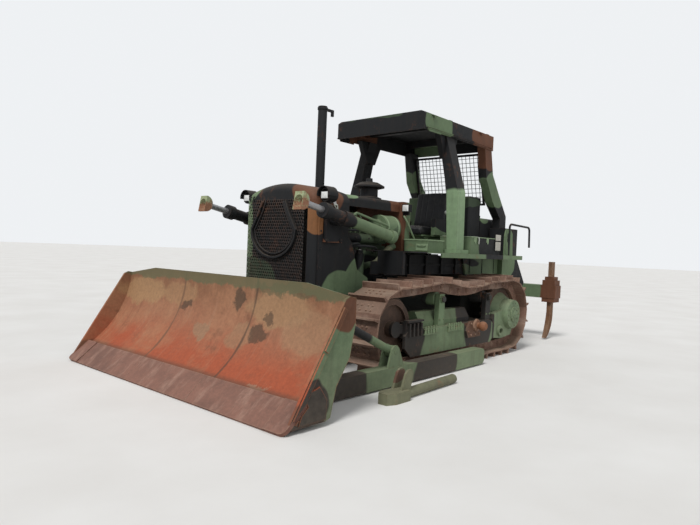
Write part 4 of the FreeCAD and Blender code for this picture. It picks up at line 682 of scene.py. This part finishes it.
# Radiator guard: the perforated sheet hung before it with its double rim, the core behind, strap, lenses
SHEET_X = 3.501
SHEET_LEFT, SHEET_RIGHT = 0.415, -0.53
SHEET_LOW, SHEET_HIGH = 0.78, 1.945
SHEET_THICK = 0.006
HOLE_RADIUS = 0.0125
HOLES_ACROSS, HOLES_UP = 27, 34
GRILLE_PAINT = painted("grille_paint", BLACK, (
    (GREEN, (3.5, -0.62, 1.45), (0.3, 0.19, 0.9)),
    (DARK_GREEN, (3.5, -0.4, 0.98), (0.3, 0.4, 0.3))), dust=0.2, wave=0.06)


def perforated_sheet():
    # Rows of staggered round holes; each cell is eight quads between its rim and its hole.
    dy = (SHEET_LEFT - SHEET_RIGHT) / HOLES_ACROSS
    dz = (SHEET_HIGH - SHEET_LOW) / HOLES_UP
    sheet = Piece()
    frame_ring = [(1, 0), (1, 1), (0, 1), (-1, 1), (-1, 0), (-1, -1), (0, -1), (1, -1)]
    turns = [k * math.pi / 4 for k in range(8)]
    for row in range(HOLES_UP):
        shifted = row % 2
        for column in range(HOLES_ACROSS - shifted):
            y = SHEET_RIGHT + (column + 0.5 + 0.5 * shifted) * dy
            z = SHEET_LOW + (row + 0.5) * dz
            outer = [(SHEET_X, y + u * dy / 2, z + v * dz / 2) for u, v in frame_ring]
            inner = [(SHEET_X, y + HOLE_RADIUS * math.cos(a), z + HOLE_RADIUS * math.sin(a)) for a in turns]
            sheet.add(outer + inner, [[k, (k + 1) % 8, 8 + (k + 1) % 8, 8 + k] for k in range(8)])
        if shifted:
            for y0, y1 in ((SHEET_RIGHT, SHEET_RIGHT + dy / 2), (SHEET_LEFT - dy / 2, SHEET_LEFT)):
                z0, z1 = SHEET_LOW + row * dz, SHEET_LOW + (row + 1) * dz
                sheet.add([(SHEET_X, y0, z0), (SHEET_X, y1, z0), (SHEET_X, y1, z1), (SHEET_X, y0, z1)],
                          [[0, 1, 2, 3]])
    piece = sheet.done("grille_sheet", GRILLE_PAINT)
    thick = piece.modifiers.new("thickness", "SOLIDIFY")
    thick.thickness = SHEET_THICK
    thick.offset = 0
    return piece


RIM_Y = -0.06
RIM_LINE = ((0.205, 1.925), (0.262, 1.8), (0.385, 1.6))    # half width and height of its corners
RIM_LOW = 1.27
RIM_BEND = 11


def u_rim(inset, width, depth):
    # A flat bar bent like a U that narrows upward, standing on the sheet.
    half, wide_z = RIM_LINE[-1]
    low_half = half - inset - width / 2
    drop = wide_z - RIM_LOW - inset - width / 2
    line = [(h - inset - width / 2, z) for h, z in RIM_LINE]
    bend = [math.pi * i / RIM_BEND for i in range(1, RIM_BEND)]
    line += [(low_half * math.cos(a), wide_z - drop * math.sin(a)) for a in bend]
    line += [(-h, z) for h, z in line[2::-1]]
    x0 = SHEET_X + SHEET_THICK / 2
    rings = []
    for i, (y, z) in enumerate(line):
        (y0, z0), (y1, z1) = line[max(0, i - 1)], line[min(len(line) - 1, i + 1)]
        size = math.hypot(y1 - y0, z1 - z0)
        ny, nz = (z1 - z0) / size * width / 2, -(y1 - y0) / size * width / 2
        rings.append([(x0, RIM_Y + y + ny, z + nz), (x0 + depth, RIM_Y + y + ny, z + nz),
                      (x0 + depth, RIM_Y + y - ny, z - nz), (x0, RIM_Y + y - ny, z - nz)])
    return Piece().rings(rings)


# Lamps before the guard and at the dash
LAMP_Y, LAMP_Z = 0.653, 1.99
DASH_LAMP = (0.5205, 1.98)
LAMP_LENS = ((3.4395, 0.046, 0.035), (3.444, 0.046, 0.035), (3.448, 0.04, 0.029))
DASH_LENS = ((1.7695, 0.045, 0.04), (1.774, 0.045, 0.04), (1.778, 0.039, 0.034))
COWL_RADII = (0.092, 0.084)
CORE_FINS = 60
FIN_PITCH = 0.0187


def plate_rings(y, z, sizes):
    # Upright rectangles about a middle, each (x, half width, half height).
    return [[(x, y - w, z - h), (x, y + w, z - h), (x, y + w, z + h), (x, y - w, z + h)] for x, w, h in sizes]


def flat_strap(line, run, thick):
    # A strap through points, run wide each way and as thick as thick, both as vectors.
    run, thick = Vector(run), Vector(thick)
    shifts = (-run, run, run + thick, thick - run)
    return Piece().rings([[Vector(p) + shift for shift in shifts] for p in line])


def guard_dress():
    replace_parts(perforated_sheet(), "grille")
    u_rim(0.0, 0.028, 0.034).done("grille_rim", GRILLE_PAINT, rounding=0.005)
    u_rim(0.048, 0.02, 0.018).done("grille_inner_rim", GRILLE_PAINT, rounding=0.004)
    hooks = Piece()
    for y in (-0.49, -0.43, 0.345):
        hooks.tube([(3.497, y, 1.985), (3.512, y, 1.982), (3.518, y, 1.96), (3.51, y, 1.93)], 0.007, 6, 3)
    hooks.done("sheet_hooks", "black")
    core = Piece().slab([(3.26, -0.54, 0.76), (3.26, 0.54, 0.76), (3.26, 0.54, 1.82), (3.26, 0.36, 2.0),
                         (3.26, -0.36, 2.0), (3.26, -0.54, 1.82)], (0.04, 0, 0))
    for i in range(CORE_FINS):
        z = 0.8 + i * FIN_PITCH
        core.box((3.3, -0.46, z), (3.312, 0.46, z + 0.004))
    core.done("radiator_core", "greasy")
    line = [(3.245, 0.36, 2.091), (3.24, 0.486, 2.056), (3.226, 0.556, 2.004), (3.206, 0.578, 1.95),
            (3.184, 0.578, 1.9)]
    strap = flat_strap(line, (0.024, 0, 0), (0, 0.003, 0.002))
    strap.done("guard_strap", "steel", slot="rod_steel")
    ring = Piece()
    corners = [(3.212, 0.584, 1.9), (3.156, 0.584, 1.9), (3.146, 0.585, 1.838)]
    for a, b in zip(corners, corners[1:] + corners[:1]):
        ring.rod(a, b, 0.007, 8)
    ring.done("strap_ring", "pale", slot="rod_steel")
    lens, cowl = Piece(), Piece()
    arc = [math.radians(-10 + k * 200 / 16) for k in range(17)]
    for y in (-LAMP_Y, LAMP_Y):
        cowl.box((3.38, y - 0.054, LAMP_Z - 0.05), (3.44, y + 0.054, LAMP_Z + 0.036))
        around = [(r * math.cos(a), r * math.sin(a))
                  for r, way in zip(COWL_RADII, (1, -1)) for a in arc[::way]]
        cowl.rings([[(x, y + u, LAMP_Z + v) for u, v in around] for x in (3.325, 3.47)])
        lens.rings(plate_rings(y, LAMP_Z - 0.007, LAMP_LENS))
    lens.rings(plate_rings(*DASH_LAMP, DASH_LENS))
    # lenses in the white of a painted highlight
    lens.done("lamp_lenses", "lens", slot="rod_steel", rounding=0.001)
    cowl.done("lamp_cowls", coat_of("lamps"), rounding=0.002)
    bolts = Piece()
    for z in (0.8, 1.0, 1.2, 1.4, 1.6, 1.8):
        bolts.hexes([(3.41, 0.593, z)], LEFT, 0.01, 0.01)
    for x, z in ((3.13, 1.5), (3.35, 1.5), (3.13, 1.76), (3.34, 1.76)):
        bolts.hexes([(x, 0.625, z)], LEFT, 0.018, 0.018)
    bolts.mirrored().done("guard_bolts", "black")


guard_dress()


def ring_points(centre, radius, count):
    # Points on an upright circle that faces left.
    x, y, z = centre
    return [(x + radius * math.cos(a), y, z + radius * math.sin(a)) for a in turned(count)]


# Undercarriage: bolts of the drives and frames, hub plates, ledges and end caps
TRUNNION = (1.05, 0.48)
TRUNNION_BOLTS = ((-0.09, -0.11), (0.02, -0.12), (0.13, -0.12), (0.2, -0.07), (-0.07, 0.03), (0.13, 0.03))
LEDGE_PITCH = 0.058
STUD_PROFILE = [(0, 0.017), (0.04, 0.017), (0.042, 0.011), (0.086, 0.011), (0.088, 0.008)]


def frame_dress():
    z = PIN_GROUND + SPROCKET_R
    drives = Piece()
    drives.hexes(ring_points((0, 1.2615, z), 0.168, 14), LEFT, 0.0105, 0.01)
    drives.hexes(ring_points((0, 1.2775, z), 0.086, 8), LEFT, 0.01, 0.009)
    drives.lathe((0, 1.276, z), LEFT, [(0, 0.058), (0.007, 0.058), (0.011, 0.052), (0.011, 0.026),
                                       (0.018, 0.022), (0.02, 0.004)], 28)
    drives.mirrored().done("drive_bolts", coat_of("final_drives"), slot="green_paint")
    ledges = Piece()
    for low, high in ((1.385, 1.722), (1.96, 2.25)):
        ledges.box((low, 1.1955, 0.446), (high, 1.222, 0.462))
        ledges.box((low, 1.1955, 0.506), (high, 1.212, 0.518))
        count = round((high - low) / LEDGE_PITCH)
        for i in range(count):
            x = low + (i + 0.5) * (high - low) / count
            ledges.lathe((x, 1.209, 0.461), UP, STUD_PROFILE, 10)
    for x, _ in CARRIERS:
        ledges.hexes([(x + u, 1.1555, 0.6) for u in (-0.045, 0.045)], LEFT, 0.013, 0.012)
    ledges.mirrored().done("frame_ledges", "green", slot="green_paint", rounding=0.002)
    x, z = TRUNNION
    rusty_bolts = Piece().hexes([(x + u, 1.2295, z + v) for u, v in TRUNNION_BOLTS], LEFT, 0.013, 0.012)
    rusty_bolts.lathe((x, 1.229, z), LEFT, [(0, 0.086), (0.024, 0.078), (0.03, 0.06), (0.034, 0.046)], 28)
    rusty_bolts.mirrored().done("trunnion_bolts", "rust", slot="rust_steel")
    caps = Piece()
    for x, top in CARRIERS:
        caps.lathe((x, 1.1745, top - 0.163), LEFT, [(0, 0.04), (0.012, 0.04), (0.018, 0.034),
                                                    (0.02, 0.012)], 18)
    caps.mirrored().done("carrier_caps", "greasy", slot="dark_iron")


frame_dress()


# Engine: injector lines, hoses with their ends, bolts and the drum's bands
INJECTOR_XS = (2.27, 2.36, 2.45, 2.54, 2.63)
HOSES = (
    (0.018, [(2.44, 0.33, 1.408), (2.46, 0.35, 1.47), (2.6, 0.4, 1.485), (2.8, 0.4, 1.44),
             (2.84, 0.33, 1.35), (2.84, 0.228, 1.3)]),
    (0.016, [(2.62, 0.33, 1.408), (2.6, 0.36, 1.45), (2.44, 0.42, 1.46), (2.24, 0.4, 1.45),
             (2.1, 0.33, 1.42), (2.05, 0.228, 1.4)]),
    (0.014, [(2.235, 0.4, 1.7), (2.29, 0.41, 1.69), (2.36, 0.4, 1.66), (2.6, 0.39, 1.65),
             (2.8, 0.37, 1.64), (2.93, 0.33, 1.62)]),
    (0.018, [(2.3, -0.34, 1.24), (2.42, -0.39, 1.26), (2.6, -0.4, 1.2), (2.8, -0.33, 1.12),
             (2.84, -0.228, 1.06)]))
HOSE_ENDS = (((2.44, 0.33, 1.4), UP), ((2.62, 0.33, 1.4), UP),
             ((2.84, 0.25, 1.308), (0, -1, -0.1)), ((2.05, 0.25, 1.404), (0, -1, -0.1)))


def engine_dress():
    lines = Piece()
    for x in INJECTOR_XS:
        lines.tube([(x, 0.08, 1.752), (x, 0.1, 1.82), (x + 0.015, 0.15, 1.862), (x + 0.025, 0.205, 1.83),
                    (x + 0.025, 0.215, 1.7), (x + 0.025, 0.19, 1.61)], 0.01, 8, 4)
        lines.hexes([(x - 0.03, 0.0, 1.759)], UP, 0.022, 0.02)
    lines.rod((2.2, 0.15, 1.872), (2.645, 0.15, 1.872), 0.012, 10)
    lines.done("engine_lines", "light_green", slot="green_paint")
    hoses = Piece()
    for radius, line in HOSES:
        hoses.tube(line, radius, 10, 5)
    hoses.done("engine_hoses", "rubber")
    clamps = Piece()
    for start, run in HOSE_ENDS:
        clamps.lathe(start, run, [(0, 0.022), (0.01, 0.024), (0.018, 0.024), (0.022, 0.02)], 14)
    clamps.done("hose_ends", "steel", slot="rod_steel")
    heads = Piece()
    heads.hexes([(1.95 + i * 0.115, 0.2295, z) for i in range(8) for z in (0.98, 1.42)], LEFT, 0.014, 0.014)
    heads.mirrored()
    heads.hexes([(2.03 + i * 0.25, 0.338, 1.56) for i in range(3)], LEFT, 0.013, 0.015)
    heads.done("engine_bolts", "greasy", slot="dark_iron")
    bands = Piece()
    for x in (1.925, 2.135):
        bands.lathe((x - 0.012, 0.38, 1.7), (1, 0, 0), [(0, 0.16), (0, 0.169), (0.024, 0.169),
                                                           (0.024, 0.16)], 40)
    bands.lathe((1.881, 0.38, 1.7), (-1, 0, 0), [(0, 0.15), (0.008, 0.14), (0.02, 0.07), (0.024, 0.01)], 32)
    bands.done("drum_bands", "light_green", slot="green_paint")


engine_dress()


# Deck: latch box, box lids, blank tags, hand lever, knobs, strap and dials
DECK = 1.4195              # pieces on the deck begin half a millimetre inside it
KNOB_PROFILE = [(0, 0.01), (0.006, 0.018), (0.022, 0.027), (0.04, 0.026), (0.054, 0.016), (0.058, 0.003)]


def deck_dress():
    box = Piece().box((1.32, 0.475, DECK), (1.7, 0.845, 1.566))
    box.done("latch_box", "green", slot="green_paint", rounding=0.006)
    lids = Piece()
    lids.box((1.314, 0.469, 1.565), (1.706, 0.851, 1.583))
    lids.box((1.6995, 0.664, 1.436), (1.7065, 0.843, 1.524))
    lids.tube([(1.706, 0.69, 1.5), (1.722, 0.7, 1.503), (1.722, 0.806, 1.503), (1.706, 0.816, 1.5)],
              0.006, 8, 3)
    for x in (0.3, 0.66):
        lids.box((x, 0.9595, 1.59), (x + 0.06, 0.966, 1.648))
        lids.box((x + 0.02, 0.9655, 1.57), (x + 0.04, 0.9715, 1.64))
    for y in (-0.72, 0.72):
        lids.box((-0.066, y - 0.248, 1.6495), (0.826, y + 0.248, 1.66))
    lids.done("box_lids", "light_green", slot="green_paint", rounding=0.003)
    tags = Piece()
    for z0, z1 in ((1.63, 1.718), (1.484, 1.612)):
        tags.box((-0.055, 0.9745, z0), (0.105, 0.9775, z1))
    tags.box((1.59, 0.4545, 1.942), (1.67, 0.4585, 2.002))
    tags.done("blank_tags", "plate", slot="rod_steel", rounding=0.001)
    clips = Piece()
    for x in (-0.04, 0.075):
        clips.box((x, 0.9595, 1.5), (x + 0.016, 0.975, 1.7))
    clips.done("tag_clips", "black", rounding=0.001)
    hand = Piece().tube([(1.69, 0.445, 1.87), (1.74, 0.49, 1.866), (1.671, 0.505, 1.771),
                         (1.584, 0.505, 1.662), (1.53, 0.5, 1.61), (1.5, 0.495, 1.58)], 0.013, 10, 5)
    hand.done("hand_lever", "light_green", slot="green_paint")
    knobs = Piece()
    for y in (-0.09, -0.03, 0.03, 0.09):
        knobs.lathe((1.331, y, 1.973), (-0.11, 0, 0.56), KNOB_PROFILE, 16)
    knobs.done("lever_knobs", "rubber")
    pale = Piece()
    for y in (0.52, -0.52, 0.6):
        pale.lathe((0.7595, y, 1.972), (0.04, 0, 0.33), KNOB_PROFILE, 16)
    pale.done("small_knobs", "pale")
    line = [(0.8, 0.5, 1.662), (0.75, 0.64, 1.663), (0.69, 0.8, 1.663), (0.62, 0.93, 1.664),
            (0.6, 0.968, 1.657), (0.597, 0.972, 1.63), (0.6, 0.972, 1.56)]
    strap = flat_strap(line, (0.024, 0.006, 0), (0, 0.002, 0.003))
    strap.done("box_strap", "pale", slot="green_paint")
    dials = Piece()
    for y in (-0.19, -0.06, 0.07, 0.2):
        dials.lathe((1.4705, y, 1.815), (-1, 0, 0), [(0, 0.045), (0.008, 0.045), (0.01, 0.038),
                                                     (0.006, 0.036)], 20)
    dials.done("dash_dials", "black")


deck_dress()


# Dark panels between the platform and the hull, with their ribs: side plates in black that stand for the
# shadow under the deck, as painted shade
def shade_skirt_dress():
    panels = Piece()
    panels.box((-0.5, 0.64, 1.1195), (1.93, 0.655, 1.38))
    for i in range(7):
        x = -0.44 + i * 0.38
        panels.box((x, 0.654, 1.13), (x + 0.03, 0.69, 1.372))
    panels.box((-0.5, 0.654, 1.236), (1.93, 0.672, 1.262))
    panels.mirrored().done("deck_shade_skirts", "black", rounding=0.002)


shade_skirt_dress()


# The tall tank behind the seat, with its cap and two flat bars
TANK_PAINT = painted("tall_tank", BLACK, (
    (GREEN, (0.05, -0.4, 2.1), (0.4, 0.3, 0.35)),
    (DARK_GREEN, (0.1, 0.42, 2.2), (0.3, 0.2, 0.12))), wave=0.1)


def tank_dress():
    shell = ((-0.166, 0.545, 2.275), (-0.15, 0.56, 2.29), (0.165, 0.56, 2.29), (0.19, 0.545, 2.265))
    tank = Piece().rings([[(x, -w, DECK), (x, w, DECK), (x, w, top), (x, -w, top)] for x, w, top in shell])
    tank.done("tall_tank", TANK_PAINT, rounding=0.01)
    fittings = Piece()
    fittings.lathe((0.02, -0.3, 2.288), UP, [(0, 0.062), (0.03, 0.062), (0.034, 0.07), (0.056, 0.07),
                                              (0.062, 0.06)], 24)
    for y in (-0.36, 0.1):
        fittings.box((0.1895, y, 2.12), (0.196, y + 0.26, 2.132))
    fittings.done("tank_fittings", "black", rounding=0.002)


tank_dress()


# Canopy: drip rails and the small brackets on its sides
def canopy_dress():
    rails = Piece()
    rails.box((0.1, 0.7655, 3.006), (1.735, 0.776, 3.016))
    rails.box((1.38, 0.752, 2.978), (1.68, 0.7695, 3.008))
    for x in (1.55, 0.28):
        rails.box((x - 0.05, 0.745, 3.19), (x + 0.05, 0.7755, 3.2))
        rails.hexes([(x, 0.77, 3.175)], LEFT, 0.014, 0.007)
    rails.mirrored().done("canopy_rails", coat_of("canopy"), slot="green_paint", rounding=0.002)


canopy_dress()


# Rear screen wires
SCREEN_LOW, SCREEN_HIGH = (-0.226, 2.1806), (-0.03, 2.955)
SCREEN_HALF = 0.605
WIRE_PITCH = 0.064
WIRE_RADIUS = 0.0045


def screen_wires():
    wires = Piece()
    low, high = SCREEN_LOW, SCREEN_HIGH
    rows = int((high[1] - low[1]) / WIRE_PITCH)
    for i in range(1, rows):
        t = i / rows
        x, z = low[0] + (high[0] - low[0]) * t + 0.01, low[1] + (high[1] - low[1]) * t
        wires.rod((x, -SCREEN_HALF, z), (x, SCREEN_HALF, z), WIRE_RADIUS, 6)
    columns = int(2 * SCREEN_HALF / WIRE_PITCH)
    for i in range(1, columns):
        y = -SCREEN_HALF + 2 * SCREEN_HALF * i / columns
        wires.rod((low[0] + 0.018, y, low[1]), (high[0] + 0.018, y, high[1]), WIRE_RADIUS, 6)
    wires.done("screen_wires", "black")


screen_wires()


# Seat: crowned cushions with sewn channels
VOXEL = 0.009
SMOOTHINGS = 14
CHANNELS = 5
SEAM_FROM = 0.86           # share of half a channel at which its seam begins
SEAM_DEPTH = 0.012
PAD_MARGIN = 0.012         # how far a cushion may leave its node's box


def vectors(mesh, key):
    values = np.empty(len(mesh.vertices) * 3)
    mesh.vertices.foreach_get(key, values)
    return values.reshape(-1, 3)


def cushion(name, node, along, bulge):
    low, high = [Vector(v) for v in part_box(node)]
    piece = placed(name, NODES[node].data.copy())
    remesh = piece.modifiers.new("remesh", "REMESH")
    remesh.mode = "VOXEL"
    remesh.voxel_size = VOXEL
    bpy.context.view_layer.update()
    done = bpy.data.meshes.new_from_object(piece.evaluated_get(bpy.context.evaluated_depsgraph_get()))
    piece.modifiers.clear()
    piece.data = done
    points = vectors(done, "co")
    for _ in range(SMOOTHINGS):
        points = relaxed(done, points)
    share = (points[:, 1] - low.y) / (high.y - low.y)
    seam = np.abs(((share * CHANNELS) % 1.0) - 0.5) * 2
    groove = np.clip((seam - SEAM_FROM) / (1 - SEAM_FROM), 0, 1)
    normals = vectors(done, "normal")
    out = np.clip(normals @ np.array(along), 0, 1)
    middle = 1 - np.abs(share - 0.5) * 2
    swell = bulge * np.sqrt(np.clip(middle, 0, 1)) - SEAM_DEPTH * groove
    points = points + normals * (out * swell)[:, None]
    points = np.clip(points, np.array(low) - PAD_MARGIN, np.array(high) + PAD_MARGIN)
    done.vertices.foreach_set("co", points.ravel())
    done.update()
    done.materials.clear()
    done.materials.append(M["vinyl"])
    done.polygons.foreach_set("use_smooth", [True] * len(done.polygons))
    fine = piece.modifiers.new("fine", "SUBSURF")
    fine.levels = fine.render_levels = 1
    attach(piece, TRACTOR)
    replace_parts(piece, node)


def relaxed(mesh, points):
    # Moves each point halfway to the middle of its neighbours.
    edges = np.empty(len(mesh.edges) * 2, dtype=np.int64)
    mesh.edges.foreach_get("vertices", edges)
    edges = edges.reshape(-1, 2)
    total = np.zeros_like(points)
    number = np.zeros(len(points))
    for a, b in ((0, 1), (1, 0)):
        np.add.at(total, edges[:, a], points[edges[:, b]])
        np.add.at(number, edges[:, a], 1)
    return points * 0.5 + total / number[:, None] * 0.5


cushion("seat_pad", "seat_cushion", (0, 0, 1), 0.02)
cushion("seat_back_pad", "seat_back", (1, 0, 0.3), 0.022)

# Stage, lights and camera
CAMERA_PLACE = (6.4344, 4.903, 1.417)
CAMERA_YAW, CAMERA_PITCH, CAMERA_ROLL = (math.radians(a) for a in (220.934, -1.342, 2.407))
FOCAL_PIXELS = 573.66
PHOTO_WIDTH = 700
SENSOR = 36.0
FLOOR_REACH = 120.0
SKY_LIGHT = ((0.92, 0.96, 1.0), 0.42)
BACKDROP = ((0.86, 0.88, 0.9), 1.0)
# Suns: name, the place each shines from, strength and spread in degrees
SUNS = (("key", (4.5, 1.2, 6.0), 2.3, 18.0), ("fill", (2.0, 6.0, 3.0), 0.6, 60.0))


def set_camera():
    level = math.cos(CAMERA_PITCH)
    ahead = Vector((level * math.cos(CAMERA_YAW), level * math.sin(CAMERA_YAW), math.sin(CAMERA_PITCH)))
    right = ahead.cross(Vector((0, 0, 1))).normalized()
    up = right.cross(ahead)
    turned_right = right * math.cos(CAMERA_ROLL) + up * math.sin(CAMERA_ROLL)
    turned_up = up * math.cos(CAMERA_ROLL) - right * math.sin(CAMERA_ROLL)
    camera = placed("camera", bpy.data.cameras.new("camera"))
    camera.data.sensor_width = SENSOR
    camera.data.lens = FOCAL_PIXELS * SENSOR / PHOTO_WIDTH
    camera.data.clip_end = 300.0
    camera.matrix_world = Matrix((
        (turned_right.x, turned_up.x, -ahead.x, CAMERA_PLACE[0]),
        (turned_right.y, turned_up.y, -ahead.y, CAMERA_PLACE[1]),
        (turned_right.z, turned_up.z, -ahead.z, CAMERA_PLACE[2]),
        (0, 0, 0, 1)))
    bpy.context.scene.camera = camera


def set_stage():
    mesh = bpy.data.meshes.new("floor")
    corners = ((-1, -1), (1, -1), (1, 1), (-1, 1))
    mesh.from_pydata([(x * FLOOR_REACH, y * FLOOR_REACH, 0) for x, y in corners], [], [[0, 1, 2, 3]])
    floor = placed("floor", mesh)
    g = Graph("floor")
    tone = g.noise(0.8, 5)
    g.finish(g.mix(g.ramp(tone, 0.3, 0.7), (0.7, 0.68, 0.65), (0.76, 0.745, 0.72)), 0.9)
    mesh.materials.append(g.material)
    world = bpy.data.worlds.new("world")
    bpy.context.scene.world = world
    world.use_nodes = True
    tree = world.node_tree
    tree.nodes.clear()
    output = tree.nodes.new("ShaderNodeOutputWorld")
    paths = tree.nodes.new("ShaderNodeLightPath")
    seen = tree.nodes.new("ShaderNodeMath")
    seen.operation = "MAXIMUM"
    tree.links.new(paths.outputs["Is Camera Ray"], seen.inputs[0])
    tree.links.new(paths.outputs["Is Glossy Ray"], seen.inputs[1])
    both = tree.nodes.new("ShaderNodeMixShader")
    tree.links.new(seen.outputs[0], both.inputs[0])
    for slot, (colour, strength) in ((1, SKY_LIGHT), (2, BACKDROP)):
        light = tree.nodes.new("ShaderNodeBackground")
        light.inputs["Color"].default_value = (*colour, 1)
        light.inputs["Strength"].default_value = strength
        tree.links.new(light.outputs[0], both.inputs[slot])
    tree.links.new(both.outputs[0], output.inputs["Surface"])
    for name, place, energy, spread in SUNS:
        lamp = placed(name, bpy.data.lights.new(name, "SUN"))
        lamp.data.energy = energy
        lamp.data.angle = math.radians(spread)
        lamp.rotation_euler = Vector(place).to_track_quat("Z", "Y").to_euler()
    bpy.context.scene.view_settings.view_transform = "Standard"


set_camera()
set_stage()
